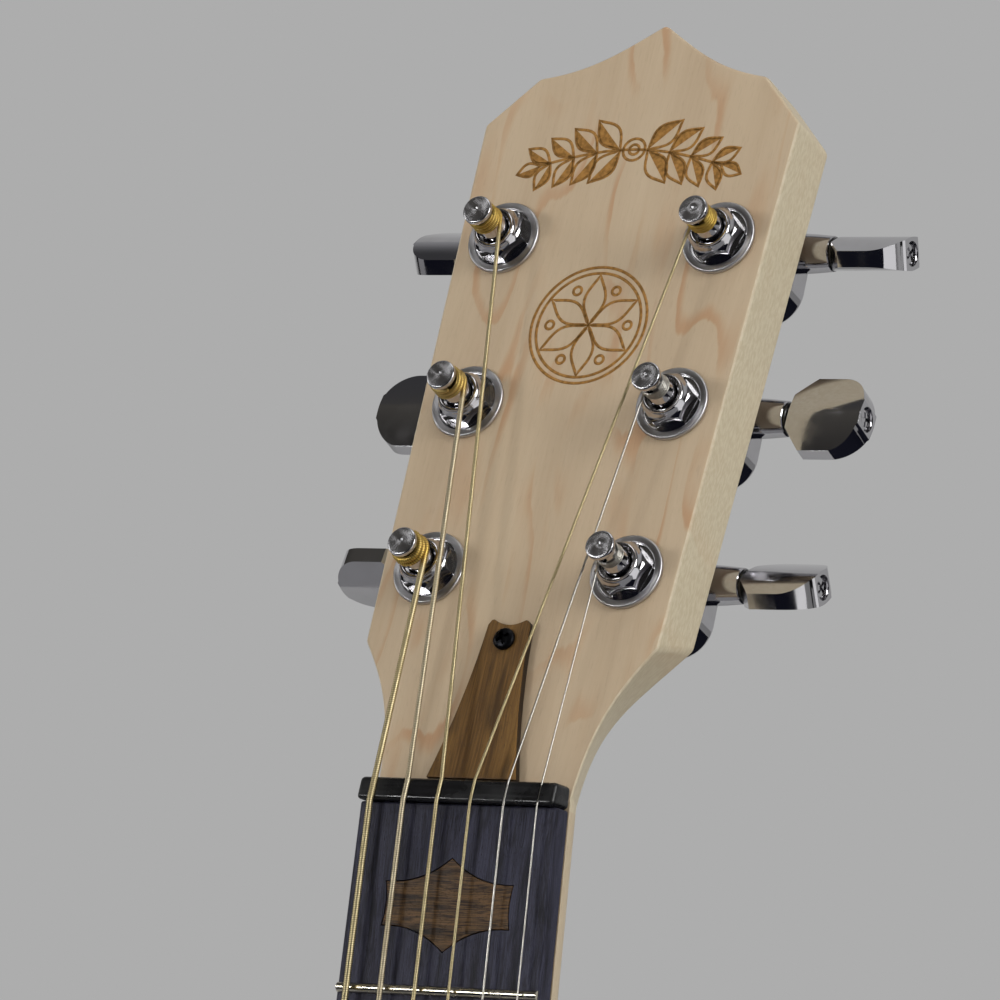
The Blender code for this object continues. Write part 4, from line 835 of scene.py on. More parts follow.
INLAY_WOOD = make_wood("inlay_wood", {
    "Light": tone(103, 75, 43), "Dark": tone(40, 28, 18), "Flame": tone(24, 16, 10), "Coarseness": 0.26,
    "Flame Amount": 0.9, "Contrast": 1.7, "Pores": 0.7, "Fineness": 3.4}, (0.45, 0.62), 0.05 * MM,
    Specular_IOR_Level=0.3)
large_inlay = written(shaded(eased(on_board(inlay_outline(), -INLAY_DEPTH, 0.0), 0.08 * MM, 1)), "grain",
                      inlay_grain)
piece("first_position_inlay", large_inlay, INLAY_WOOD, stands_for=["first_position_inlay"])
small = []
for across, down in small_inlay_places():
    one = on_board(inlay_outline(0.0, SMALL_INLAY_SCALE, down), -INLAY_DEPTH, 0.0)
    small.append(moved(one, Matrix.Translation((across, 0, 0))))
piece("small_inlays", written(shaded(eased(joined(small), 0.08 * MM, 1)), "grain", inlay_grain),
      INLAY_WOOD)

# Nut
# A moulded black bar across the end of the board, rounded at its ends and polished on top.
# Six slots hold the strings.
NUT_THICKNESS = 4.6 * MM
NUT_FRONT_HEIGHT = 2.1 * MM
NUT_BACK_HEIGHT = 1.1 * MM
NUT_SLOT_DEPTH = 0.5 * MM
NUT_SLOT_ROOM = 0.08 * MM
NUT_SLOT_LIFT = 0.15 * MM
NUT_ROUNDING = 0.9 * MM
STRINGS = (
    ("string_6", 1.28 * MM, "bass_low", 0.42 * MM), ("string_5", 1.07 * MM, "bass_mid", 0.36 * MM),
    ("string_4", 0.82 * MM, "bass_top", 0.3 * MM), ("string_3", 0.64 * MM, "treble_top", 0.26 * MM),
    ("string_2", 0.43 * MM, "treble_mid", None), ("string_1", 0.34 * MM, "treble_low", None),
)
STRING_SPAN_NUT = 36.2 * MM
NUT_STAND = Matrix(((0, 0, 1, 0), (0, -1, 0, 0), (1, 0, 0, 0), (0, 0, 0, 1)))


def string_across(number, span):
    return -span / 2 + span * number / (len(STRINGS) - 1)


def nut_top(up):
    return NUT_FRONT_HEIGHT + (NUT_BACK_HEIGHT - NUT_FRONT_HEIGHT) * up / NUT_THICKNESS


def make_nut():
    foot = -BOARD_THICKNESS + GLUE
    side = [(GLUE, foot), (NUT_THICKNESS, foot), (NUT_THICKNESS, NUT_BACK_HEIGHT), (GLUE, NUT_FRONT_HEIGHT)]
    ends = NUT_WIDTH / 2
    nut = eased(moved(plate(side, -ends, ends), NUT_STAND), NUT_ROUNDING, 4, 60)
    slots = []
    for number, (_, diameter, _, _) in enumerate(STRINGS):
        across = string_across(number, STRING_SPAN_NUT)
        groove = rod(diameter / 2 + NUT_SLOT_ROOM, -1 * MM, NUT_THICKNESS + 1 * MM, 20)
        fall = math.atan2(NUT_FRONT_HEIGHT - NUT_BACK_HEIGHT, NUT_THICKNESS)
        height = NUT_FRONT_HEIGHT - NUT_SLOT_DEPTH + diameter / 2 + NUT_SLOT_LIFT
        tilt = Matrix.Translation((across, -height, 0)) @ Matrix.Rotation(-fall, 4, "X")
        slots.append(moved(groove, tilt))
    return shaded(combined(nut, slots, "DIFFERENCE"), 40)


NUT_BLACK, nut_tree, nut_shader = new_finish("polished_black", Specular_IOR_Level=0.5)
nut_place = object_place(nut_tree)
nut_lines = stretched_noise(nut_tree, nut_place, (14 * MM, 0.5 * MM, 0.5 * MM), 2.0)
coloured(nut_tree, nut_shader, mixed(nut_tree, between(nut_tree, nut_lines, 0.35, 0.75), tone(9, 9, 10),
                                     tone(26, 26, 28)))
roughened(nut_tree, nut_shader, smears_on(nut_tree, nut_place, 1.0), 0.22, 0.42)
bumped(nut_tree, nut_shader, nut_lines, 0.03 * MM)
piece("nut", make_nut(), NUT_BLACK, stands_for=["nut"])

# Truss-rod cover and its screw
# A thin brown hardwood plate over the rod's pocket, laser-cut, so its edges are scorched nearly black.
# A black pan-head screw holds its narrow end.
COVER_THICKNESS = 2.0 * MM
COVER_LIFT = 0.2 * MM
COVER_BASE = (9.8 * MM, 2.0 * MM)
COVER_TIP = (4.6 * MM, 35.4 * MM)
COVER_HORN = 1.1 * MM
COVER_SIDE_DIP = 0.8 * MM
COVER_TOP_DIP = 1.1 * MM
COVER_SCREW_UP = 31.0 * MM
SCREW_HEAD = (2.25 * MM, 1.2 * MM)
SCREW_SHANK = (1.1 * MM, 9 * MM)


def make_cover():
    half = []
    for k in range(17):
        t = k / 16
        x = COVER_BASE[0] + (COVER_TIP[0] - COVER_BASE[0]) * t - COVER_SIDE_DIP * 4 * t * (1 - t)
        half.append((x, COVER_BASE[1] + (COVER_TIP[1] - 1.2 * MM - COVER_BASE[1]) * t))
    horn = COVER_TIP[0] - COVER_HORN
    half.append((horn + 0.5 * MM, COVER_TIP[1] - 0.15 * MM))
    for k in range(9):
        x = horn * (1 - k / 9)
        half.append((x, COVER_TIP[1] - COVER_TOP_DIP * (1 - (x / horn) ** 2)))
    half.append((0, COVER_TIP[1] - COVER_TOP_DIP))
    cover = eased(plate(both_sides(half), COVER_LIFT, COVER_LIFT + COVER_THICKNESS), 0.25 * MM, 2)
    hole = moved(rod(SCREW_SHANK[0] + 0.1 * MM, -1 * MM, 5 * MM),
                 Matrix.Translation((0, COVER_SCREW_UP, 0)))
    cover = combined(cover, [hole], "DIFFERENCE")
    scorched = cover.attributes.new("scorched", "FLOAT", "FACE")
    for face, value in zip(cover.polygons, scorched.data):
        value.value = 1.0 if face.normal.z < 0.3 else 0.0
    return written(shaded(cover), "grain", lambda place: Vector(place))


COVER_WOOD = make_wood("cover_wood", {
    "Light": tone(128, 94, 46), "Dark": tone(84, 58, 26), "Flame": tone(50, 34, 15), "Coarseness": 0.5,
    "Flame Amount": 0.7, "Contrast": 1.1, "Pores": 0.55, "Fineness": 1.8}, (0.42, 0.6), 0.05 * MM,
    Specular_IOR_Level=0.3)
cover_tree = COVER_WOOD.node_tree
cover_shader = cover_tree.nodes["Principled BSDF"]
cover_grain = cover_shader.inputs["Base Color"].links[0].from_socket
cover_edge = maths(cover_tree, "MULTIPLY", share_on(cover_tree, "scorched"), 0.9)
coloured(cover_tree, cover_shader, mixed(cover_tree, cover_edge, cover_grain, tone(18, 13, 10)))
piece("truss_rod_cover", moved(make_cover(), HEAD), COVER_WOOD,
      stands_for=["truss_rod_cover"])


def pan_head(radius, height, base, recess=0.22):
    """A pan head on a plane, rounded over, with a cross recess."""
    profile = [(0, base + height)]
    for k in range(1, 9):
        angle = math.pi / 2 * k / 8
        profile.append((radius * math.sin(angle) ** 0.8,
                        base + 0.35 * height + 0.65 * height * math.cos(angle)))
    profile += [(radius, base), (0, base)]
    head = lathe(profile, 36)
    arms = []
    for turn in (0, math.pi / 2):
        arm = block((-0.62 * radius, -recess * radius / 2, base + 0.25 * height),
                    (0.62 * radius, recess * radius / 2, base + 2 * height))
        arms.append(moved(arm, Matrix.Rotation(turn + 0.5, 4, "Z")))
    return combined(head, arms, "DIFFERENCE")


SCREW_BLACK = make_metal("blackened_screw", tone(34, 35, 38), (0.22, 0.42), 0.006 * MM)
seat = 2 * COVER_LIFT + COVER_THICKNESS
cover_screw = combined(pan_head(SCREW_HEAD[0], SCREW_HEAD[1], seat, 0.34),
                       [rod(SCREW_SHANK[0], -SCREW_SHANK[1], seat + 0.2 * MM)], "UNION")
piece("cover_screw", shaded(moved(cover_screw, HEAD @ Matrix.Translation((0, COVER_SCREW_UP, 0)))),
      SCREW_BLACK, stands_for=["cover_screw"])

# Tuners: posts
# A turned and chromed steel post with a dimpled cap, a waist for the string and a flared foot.
# Its lower end carries a wheel inside the housing and turns with it; the real wheel is brass, here it is
# made in one with the post in its chrome.
WAIST_RADIUS = 2.2 * MM
WAIST_BOTTOM = 6.5 * MM
SHAFT_DEPTH = 20 * MM
WHEEL_TEETH = 12
WHEEL_RADII = (4.1 * MM, 5.25 * MM)
WHEEL_THICKNESS = 2.4 * MM
STRING_HOLE = 0.85 * MM
POST_PROFILE = (
    (0, 12.72), (0.2, 12.75), (0.36, 12.86), (0.48, 12.9), (1.4, 12.86), (2.2, 12.79), (2.7, 12.71),
    (2.86, 12.65), (2.96, 12.55), (3.0, 12.4), (3.0, 11.85), (2.96, 11.62), (2.84, 11.5), (2.4, 11.42),
    (2.14, 11.25), (2.05, 10.9), (2.1, 9.4), (2.2, 8.2), (2.36, 7.3), (2.58, 6.5),
    (2.8, 5.8), (2.9, 5.5), (2.88, 5.36), (2.7, 5.3), (2.7, -21.5), (0, -21.5),
)


def local_place(place):
    return Vector(place)


def tuner_matrix(name):
    return HEAD @ Matrix.Translation((*TUNER_PLACES[name], 0))


def tuner_side(name):
    return Matrix.Diagonal((-1, 1, 1, 1)) if TUNER_PLACES[name][0] < 0 else Matrix.Identity(4)


def in_mm(profile):
    return [(across * MM, along * MM) for across, along in profile]


def hexagon(radius, centre=0.0, turn=0.0):
    """Six corners as far as a radius from a centre on the first axis."""
    turns = [turn + k * math.pi / 3 for k in range(6)]
    return [(centre + radius * math.cos(t), radius * math.sin(t)) for t in turns]


def put_on_tuners(kind, mesh, angle, finish, turns=False):
    """A piece of one kind on each tuner; one that turns rides on a body of its own."""
    for name in TUNER_PLACES:
        own = kind + "_" + name
        copy = moved(mesh.copy(), tuner_matrix(name) @ tuner_side(name))
        piece(own, shaded(copy, angle), finish, own if turns else BODY, ["tuner_" + own])


def make_post():
    post = lathe(in_mm(POST_PROFILE), 56)
    pitch = 2 * math.pi / WHEEL_TEETH
    outline = []
    for tooth in range(WHEEL_TEETH):
        middle = math.pi / 2 + (tooth + 0.5) * pitch
        for radius, share in ((WHEEL_RADII[0], -0.31), (WHEEL_RADII[1], -0.13), (WHEEL_RADII[1], 0.13),
                              (WHEEL_RADII[0], 0.31)):
            angle = middle + share * pitch
            outline.append((radius * math.cos(angle), radius * math.sin(angle)))
    wheel = plate(outline, -SHAFT_DEPTH - WHEEL_THICKNESS / 2, -SHAFT_DEPTH + WHEEL_THICKNESS / 2)
    hole = moved(rod(STRING_HOLE, -5 * MM, 5 * MM, 24, "Y"), Matrix.Translation((0, 0, 10 * MM)))
    post = combined(combined(post, [wheel], "UNION"), [hole], "DIFFERENCE")
    return written(post, "lathe", local_place)


CHROME_COLOUR = tone(198, 197, 200)


def make_turned_chrome(name, along, low, high, brushed):
    """Chrome over a lathe's fine rings; past a height or radius it is left brushed."""
    made = make_metal(name, CHROME_COLOUR, (0.07, 0.15), 0.003 * MM, turned=True, size=0.7, Anisotropic=0.8)
    tree = made.node_tree
    shader = tree.nodes["Principled BSDF"]
    spot = attribute(tree, "lathe")
    apart = add(tree, "ShaderNodeSeparateXYZ", {0: spot})
    measured = apart.outputs["Z"] if along == "height" else lathe_radius(tree, spot)
    brushing = between(tree, measured, low, high)
    polish = shader.inputs["Roughness"].links[0].from_socket
    tree.links.new(maths(tree, "MAXIMUM", polish, maths(tree, "MULTIPLY", brushing, brushed)),
                   shader.inputs["Roughness"])
    round_axis = add(tree, "ShaderNodeCombineXYZ",
                     {0: maths(tree, "MULTIPLY", apart.outputs["Y"], -1.0), 1: apart.outputs["X"]})
    tilted = add(tree, "ShaderNodeVectorRotate",
                 {"Vector": round_axis.outputs[0], "Rotation": HEAD.to_euler()},
                 rotation_type="EULER_XYZ")
    facing = add(tree, "ShaderNodeVectorTransform", {0: tilted.outputs[0]}, vector_type="VECTOR",
                 convert_from="OBJECT", convert_to="WORLD")
    tree.links.new(facing.outputs[0], shader.inputs["Tangent"])
    return made


POST_CHROME = make_turned_chrome("post_chrome", "height", 12.58 * MM, 12.68 * MM, 0.27)
BUSH_CHROME = make_turned_chrome("bush_chrome", "radius", 5.95 * MM, 6.2 * MM, 0.34)
CHROME = make_metal("polished_chrome", CHROME_COLOUR, (0.06, 0.16), 0.002 * MM, size=1.2)
put_on_tuners("post", make_post(), 40, POST_CHROME, turns=True)

# Tuners: bushes
# A threaded bush screwed in from the front: a hexagon with rounded shoulders over a dished washer.
# Both are polished and chromed, and the post turns inside.
BUSH_PROFILE = (
    (3.85, 5.2), (3.62, 5.14), (3.5, 4.95), (3.46, 4.3), (2.96, 4.2), (2.95, -9), (3.8, -9), (3.8, 0.05),
    (7.5, 0.05), (7.66, 0.2), (7.72, 0.45), (7.66, 0.78), (7.5, 0.98), (7.3, 1.05), (6.34, 1.05),
    (6.22, 0.98), (6.16, 0.6), (5.9, 0.5), (4.3, 0.55), (4.2, 0.9), (4.2, 5.0), (4.1, 5.15),
)
HEX_DOME = ((0, 5.05), (4.1, 5.05), (4.3, 4.85), (4.5, 4.4), (4.72, 3.9), (5.05, 3.45), (5.45, 3.15),
            (5.9, 2.95), (5.9, 0.4), (0, 0.4))
BUSH_ACROSS_FLATS = 9.7 * MM
BUSH_BORE = (3.6 * MM, 0.2 * MM, 6 * MM)
HEX_HEIGHTS = (0.4 * MM, 5.2 * MM)
HEX_TURN = math.radians(12)


def make_bush():
    body = lathe(in_mm(BUSH_PROFILE), 64, ring=True)
    corner = BUSH_ACROSS_FLATS / 2 / math.cos(math.pi / 6)
    shank = eased(plate(hexagon(corner, turn=HEX_TURN), *HEX_HEIGHTS), 0.2 * MM, 2, 40)
    shank = combined(shank, [lathe(in_mm(HEX_DOME), 64)], "INTERSECT")
    shank = combined(shank, [rod(*BUSH_BORE, 40)], "DIFFERENCE")
    return written(combined(body, [shank], "UNION"), "lathe", local_place)


put_on_tuners("bush", make_bush(), 34, BUSH_CHROME)

# Tuners: housings
# Die-cast zinc, chromed: a rounded body on the headstock's back, and a ferrule round the shaft.
# It holds the worm and wheel in grease; a small screw behind the ferrule keeps it from turning.
WORM_OFFSET = 7.1 * MM
HOUSING_RADIUS = 7.4 * MM
HOUSING_HALF_WIDTH = 7.0 * MM
HOUSING_BACK = 24.6 * MM
HOUSING_TOP = 11.7 * MM
FERRULE_PROFILE = (
    (0, 6.0), (3.95, 6.0), (3.97, 6.6), (3.94, 8.4), (3.84, 10.2), (3.7, 11.9), (3.56, 13.6), (3.5, 14.0),
    (3.3, 14.15), (0, 14.15),
)
BARREL_PROFILE = ((2.95, -3), (4.7, -3), (4.7, -15), (2.95, -15))
SHAFT_ROOM = (1.85 * MM, -6 * MM, 16 * MM)
WORM_ROOM = (3.0 * MM, -3 * MM, 3 * MM)
WHEEL_ROOM = (5.5 * MM, -SHAFT_DEPTH - 1.8 * MM, -SHAFT_DEPTH + 1.5 * MM)
POST_ROOM = (2.95 * MM, -SHAFT_DEPTH, -13 * MM)
CAP_SCREW = (1.7 * MM, 0.5 * MM)
BUTTON_WASHER = ((1.95, 14.25), (3.1, 14.25), (3.2, 14.35), (3.2, 14.7), (3.1, 14.8), (1.95, 14.8))
SHAFT_PLACE = Matrix.Translation((0, WORM_OFFSET, -SHAFT_DEPTH))
SHAFT = SHAFT_PLACE @ Matrix.Rotation(math.pi / 2, 4, "Y")


def make_housing():
    side = HOUSING_HALF_WIDTH
    outline = [(HOUSING_RADIUS * math.cos(math.pi + math.pi * i / 24),
                HOUSING_RADIUS * math.sin(math.pi + math.pi * i / 24))
               for i in range(25)]
    outline += [(side, HOUSING_TOP - 2.5 * MM), (side - 0.8 * MM, HOUSING_TOP - 0.8 * MM),
                (side - 2.5 * MM, HOUSING_TOP), (2.5 * MM - side, HOUSING_TOP),
                (0.8 * MM - side, HOUSING_TOP - 0.8 * MM), (-side, HOUSING_TOP - 2.5 * MM)]
    body = eased(plate(outline, -HOUSING_BACK, -HEAD_THICKNESS - 0.1 * MM), 1.5 * MM, 5, 50)
    barrel = lathe(in_mm(BARREL_PROFILE), 40, ring=True)
    body = combined(body, [moved(lathe(in_mm(FERRULE_PROFILE), 48), SHAFT)], "UNION")
    rooms = [moved(rod(*SHAFT_ROOM, 24), SHAFT), rod(*WHEEL_ROOM, 40), moved(rod(*WORM_ROOM, 24), SHAFT),
             rod(*POST_ROOM, 32)]
    body = combined(body, rooms, "DIFFERENCE")
    cap_screw = moved(pan_head(*CAP_SCREW, 0, 0.24),
                      Matrix.Translation((0, 0, -HOUSING_BACK)) @ Matrix.Rotation(math.pi, 4, "X"))
    made = joined([body, barrel, cap_screw])
    return written(made, "lathe", lambda place: Vector((place.z + SHAFT_DEPTH, place.y - WORM_OFFSET, 0)))


put_on_tuners("housing", make_housing(), 34, CHROME)
washers = [moved(lathe(in_mm(BUTTON_WASHER), 40, ring=True), tuner_matrix(name) @ tuner_side(name) @ SHAFT)
           for name in TUNER_PLACES]
piece("button_washers", shaded(joined(washers), 40), NUT_BLACK)

# Tuners: buttons
# Die-cast half-moons, chromed: bevelled flat faces, a broad flat rim and shoulders that slope to the shaft.
# A recessed screw in the round end draws each on to the shaft's flats.
BUTTON_START = 15.4 * MM
BUTTON_LENGTH = 15.6 * MM
BUTTON_HALF_WIDTH = 8.3 * MM
BUTTON_HALF_THICK = (3.3 * MM, 1.6 * MM)
BUTTON_NECK = 3.8 * MM
BUTTON_SHOULDER = 3.5 * MM
BUTTON_STRAIGHT = 0.6
BUTTON_SCREW = (2.3 * MM, 0.5 * MM)
BUTTON_RECESS = (2.5 * MM, 0.9 * MM)
BUTTON_BORE = (1.8 * MM, -1 * MM, 9 * MM)
BUTTON_TURN = {"bass_low": 81.5, "bass_mid": -6.5, "bass_top": -43.5,
               "treble_low": -44.5, "treble_mid": -7.5, "treble_top": -55.5}


def make_button():
    end = BUTTON_LENGTH
    wide = BUTTON_HALF_WIDTH
    half = [(0, BUTTON_NECK), (BUTTON_SHOULDER, wide), (BUTTON_STRAIGHT * end, wide)]
    reach = end * (1 - BUTTON_STRAIGHT)
    for k in range(1, 18):
        angle = math.pi / 2 * (1 - k / 18)
        half.append((BUTTON_STRAIGHT * end + reach * math.cos(angle), wide * math.sin(angle) ** 0.9))
    half = [point for point in half if point[1] > 2.7 * MM or point[0] < end / 2]
    half.append((end, 2.7 * MM))
    outline = half + [(x, -y) for x, y in reversed(half)]
    upper = []
    for k in range(1, 29):
        out = (wide + 0.6 * MM) * k / 28
        thinning = (out / wide) ** 1.5
        upper.append((out, BUTTON_HALF_THICK[0] - (BUTTON_HALF_THICK[0] - BUTTON_HALF_THICK[1]) * thinning))
    section = upper + [(y, -z) for y, z in reversed(upper)]
    section += [(-y, -z) for y, z in upper] + [(-y, z) for y, z in reversed(upper)]
    along_x = Matrix(((0, 0, 1, 0), (1, 0, 0, 0), (0, 1, 0, 0), (0, 0, 0, 1)))
    lens = moved(plate(section, -2 * MM, end + 2 * MM), along_x)
    blade = combined(plate(outline, -4 * MM, 4 * MM), [lens], "INTERSECT")
    blade = eased(blade, 0.5 * MM, 3, 30)
    bore = rod(*BUTTON_BORE, 24, "X")
    recess = rod(BUTTON_RECESS[0], end - BUTTON_RECESS[1], end + 2 * MM, 40, "X")
    blade = combined(blade, [bore, recess], "DIFFERENCE")
    lay = Matrix.Translation((end - 0.95 * MM, 0, 0)) @ Matrix.Rotation(math.pi / 2, 4, "Y")
    screw = moved(pan_head(*BUTTON_SCREW, 0, 0.3), lay)
    made = moved(joined([blade, screw]), Matrix.Translation((BUTTON_START, 0, 0)))
    return written(made, "lathe", local_place)


button_mesh = make_button()
for name in TUNER_PLACES:
    spun = Matrix.Rotation(math.radians(BUTTON_TURN[name]), 4, "X") @ tuner_side(name)
    copy = moved(button_mesh.copy(), tuner_matrix(name) @ SHAFT_PLACE @ spun)
    piece("button_" + name, shaded(copy, 22), CHROME,
          "button_" + name, ["tuner_button_" + name])

# Tuners: worms and the truss rod
# Steel parts inside the housings and the neck, bright from the cutter and lightly greased.
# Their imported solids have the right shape, so only the finish is theirs.
CUT_STEEL = make_metal("cut_steel", tone(150, 148, 144), (0.24, 0.42), 0.006 * MM)
for name in TUNER_PLACES:
    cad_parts["tuner_worm_" + name].data.materials[0] = CUT_STEEL
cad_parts["truss_rod"].data.materials[0] = CUT_STEEL

# Strings
# Four are steel cores wound with bronze wire and two are plain steel, each drawn taut from its coil
# on a post, over the nut and the bridge, to a brass ball held behind the tailpiece's lip.
STRING_SPAN_BRIDGE = 52 * MM
POT_CENTRE = NECK_JOINT + RIM_RADIUS
BRIDGE_HEIGHT = 15.9 * MM
TAIL_LIP = 104 * MM
TAIL_LIP_LENGTH = 3.5 * MM
TAIL_STRING_HEIGHT = 8.2 * MM
STRING_END = 2.2 * MM
BRIDGE_NOTCH = 0.05 * MM
COIL_HEIGHT = 4.2 * MM
COIL_TURNS = (2.2, 4.6)
COIL_PITCH = {"wound": 1.04, "plain": 1.3}
COIL_FLARE = 0.35 * MM
COIL_POINTS = 48
WIND_SAMPLES = 3.6


def leaving_angle(centre, radius, target, side):
    """Where a line from the target touches the coil's circle, on the side given as 1 or -1."""
    offset = target - centre
    return math.atan2(offset.y, offset.x) + side * math.acos(radius / offset.length)


def string_route(number):
    """One string's points: its coil from the top down, then nut, bridge and tailpiece."""
    _, diameter, tuner, _ = STRINGS[number]
    across, up = TUNER_PLACES[tuner]
    side = 1 if across < 0 else -1
    radius = WAIST_RADIUS + diameter / 2 + 0.03 * MM
    nut_across = string_across(number, STRING_SPAN_NUT)
    over_nut = [nut_top(rise) - NUT_SLOT_DEPTH + 0.1 * MM + diameter / 2 for rise in (0, NUT_THICKNESS)]
    nut_back = Vector((nut_across, -over_nut[1], NUT_THICKNESS))
    leave = leaving_angle(Vector((across, up)), radius, (HEAD.inverted() @ nut_back).xy, side)
    low = WAIST_BOTTOM + 0.55 * MM + diameter / 2
    pitch = diameter * COIL_PITCH["wound" if STRINGS[number][3] else "plain"]
    turns = max(COIL_TURNS[0], min(COIL_TURNS[1], (COIL_HEIGHT - diameter) / pitch))
    count = int(turns * COIL_POINTS)
    flare = [max(0.0, COIL_FLARE * (1 - i / COIL_POINTS * 1.4)) for i in range(count + 1)]
    route = []
    for i in range(count, -1, -1):
        turn = i / COIL_POINTS
        angle = leave + side * turn * 2 * math.pi
        spread = radius + flare[i] * min(1, turn * 6)
        place = Vector((across + spread * math.cos(angle), up + spread * math.sin(angle),
                        low + pitch * turn))
        route.append(HEAD @ place)
    route.append(nut_back)
    route.append(Vector((nut_across, -over_nut[0], 0)))
    at_bridge = string_across(number, STRING_SPAN_BRIDGE)
    height = BRIDGE_HEIGHT - BRIDGE_NOTCH + diameter / 2
    past = TAIL_LIP + TAIL_LIP_LENGTH + STRING_END
    for place in ((at_bridge, POT_CENTRE - SCALE_LENGTH, height),
                  (at_bridge, -TAIL_LIP, TAIL_STRING_HEIGHT),
                  (at_bridge, -past, TAIL_STRING_HEIGHT)):
        route.append(POT @ Vector(place))
    return route


def make_winding_tree():
    """A round wire along a line; a ripple winds round it once every pitch."""
    tree, given, gives = new_tree("GeometryNodeTree", "string_winding", [
        ("Route", "NodeSocketGeometry", None), ("Radius", "NodeSocketFloat", 0.5 * MM),
        ("Pitch", "NodeSocketFloat", 0.3 * MM), ("Ripple", "NodeSocketFloat", 0.0),
        ("Step", "NodeSocketFloat", 1 * MM), ("Sides", "NodeSocketInt", 8),
        ("Coil", "NodeSocketFloat", 50 * MM),
        ("Finish", "NodeSocketMaterial", None),
    ], [("String", "NodeSocketGeometry")])
    curve = add(tree, "GeometryNodeMeshToCurve", {0: given["Route"]})
    dense = add(tree, "GeometryNodeResampleCurve", {"Curve": curve.outputs[0], "Length": given["Step"]},
                mode="LENGTH")
    travel = tree.nodes.new("GeometryNodeSplineParameter")
    kept = tree.nodes.new("GeometryNodeCaptureAttribute")
    kept.capture_items.new("FLOAT", "travel")
    tree.links.new(dense.outputs[0], kept.inputs["Geometry"])
    tree.links.new(travel.outputs["Length"], kept.inputs["travel"])
    ring = add(tree, "GeometryNodeCurvePrimitiveCircle",
               {"Resolution": given["Sides"], "Radius": given["Radius"]})
    round_ring = tree.nodes.new("GeometryNodeCaptureAttribute")
    round_ring.capture_items.new("FLOAT", "around")
    tree.links.new(ring.outputs[0], round_ring.inputs["Geometry"])
    turn = tree.nodes.new("GeometryNodeSplineParameter")
    tree.links.new(turn.outputs["Factor"], round_ring.inputs["around"])
    wire = add(tree, "GeometryNodeCurveToMesh", {"Curve": kept.outputs["Geometry"],
                                                 "Profile Curve": round_ring.outputs["Geometry"],
                                                 "Fill Caps": True})
    turns = maths(tree, "SUBTRACT", maths(tree, "DIVIDE", kept.outputs["travel"], given["Pitch"]),
                  round_ring.outputs["around"])
    wave = maths(tree, "COSINE", maths(tree, "MULTIPLY", turns, 2 * math.pi))
    normal = tree.nodes.new("GeometryNodeInputNormal")
    push = add(tree, "ShaderNodeVectorMath",
               {0: normal.outputs[0], "Scale": maths(tree, "MULTIPLY", wave, given["Ripple"])},
               operation="SCALE")
    rippled = add(tree, "GeometryNodeSetPosition", {"Geometry": wire.outputs[0], "Offset": push.outputs[0]})
    # The ridge share feeds the strings' painted shade in their grooves.
    ridge = maths(tree, "MULTIPLY_ADD", wave, 0.5, 0.5)
    marked = add(tree, "GeometryNodeStoreNamedAttribute",
                 {"Geometry": rippled.outputs[0], "Name": "ridge", "Value": ridge},
                 data_type="FLOAT", domain="POINT")
    past_coil = maths(tree, "DIVIDE", maths(tree, "SUBTRACT", kept.outputs["travel"], given["Coil"]),
                      4 * MM)
    drawn = add(tree, "GeometryNodeStoreNamedAttribute",
                {"Geometry": marked.outputs[0], "Name": "past_coil", "Value": past_coil},
                data_type="FLOAT", domain="POINT")
    smooth = add(tree, "GeometryNodeSetShadeSmooth", {"Geometry": drawn.outputs[0]})
    give_painted(tree, smooth.outputs[0], given["Finish"], gives["String"])
    return tree


def make_string_metal(name, colour, groove, rough, coil=None, coil_groove_shade=None):
    """Wire painted darker between its ridges, as painted shade in the grooves of its winding, and yellower
    where it is coiled on its post.
    """
    made, tree, shader = new_finish(name, Metallic=1.0)
    place = object_place(tree)
    smears = smears_on(tree, place, 1.0)
    # Painted shade: the groove tone between the wraps, the plain colour on their ridges.
    share = between(tree, share_on(tree, "ridge"), 0.0, 0.75)
    shade = mixed(tree, share, groove, colour)
    if coil:
        past_coil = between(tree, share_on(tree, "past_coil"), 0.0, 1.0)
        shade = mixed(tree, past_coil, mixed(tree, share, coil_groove_shade, coil), shade)
    coloured(tree, shader, mixed(tree, maths(tree, "MULTIPLY", smears, 0.3), shade, groove))
    roughened(tree, shader, smears, *rough)
    bumped(tree, shader, stretched_noise(tree, place, (0.2 * MM, 0.2 * MM, 1.5 * MM), 2.0), 0.001 * MM)
    return made


BRONZE = make_string_metal("bronze_winding", tone(214, 200, 158), tone(176, 162, 122), (0.46, 0.58),
                           tone(224, 192, 102), tone(158, 128, 62))
PALE_BRONZE = make_string_metal("pale_bronze_winding", tone(212, 201, 172), tone(178, 165, 136),
                                (0.46, 0.58), tone(224, 194, 112), tone(160, 132, 72))
PLAIN_STEEL = make_string_metal("plain_steel", tone(198, 195, 187), tone(188, 185, 177), (0.28, 0.4))
WINDING_TREE = make_winding_tree()
for number, (name, diameter, _, wrap) in enumerate(STRINGS):
    route = bpy.data.meshes.new("route")
    places = string_route(number)
    route.from_pydata(places, [(i, i + 1) for i in range(len(places) - 1)], [])
    on_post = places[:-5]
    coil_length = sum((far - near).length for near, far in zip(on_post, on_post[1:]))
    ripple = 0.0 if wrap is None else 0.05 * wrap
    metal = PLAIN_STEEL if wrap is None else (PALE_BRONZE if number == 1 else BRONZE)
    string = grown(route, WINDING_TREE, {
        "Radius": diameter / 2 - ripple, "Pitch": wrap or 1 * MM, "Ripple": ripple,
        "Step": wrap / WIND_SAMPLES if wrap else 0.35 * MM, "Sides": 8 if number < 2 or wrap is None else 6,
        "Coil": coil_length, "Finish": metal})
    piece(name, string, metal, stands_for=[name])

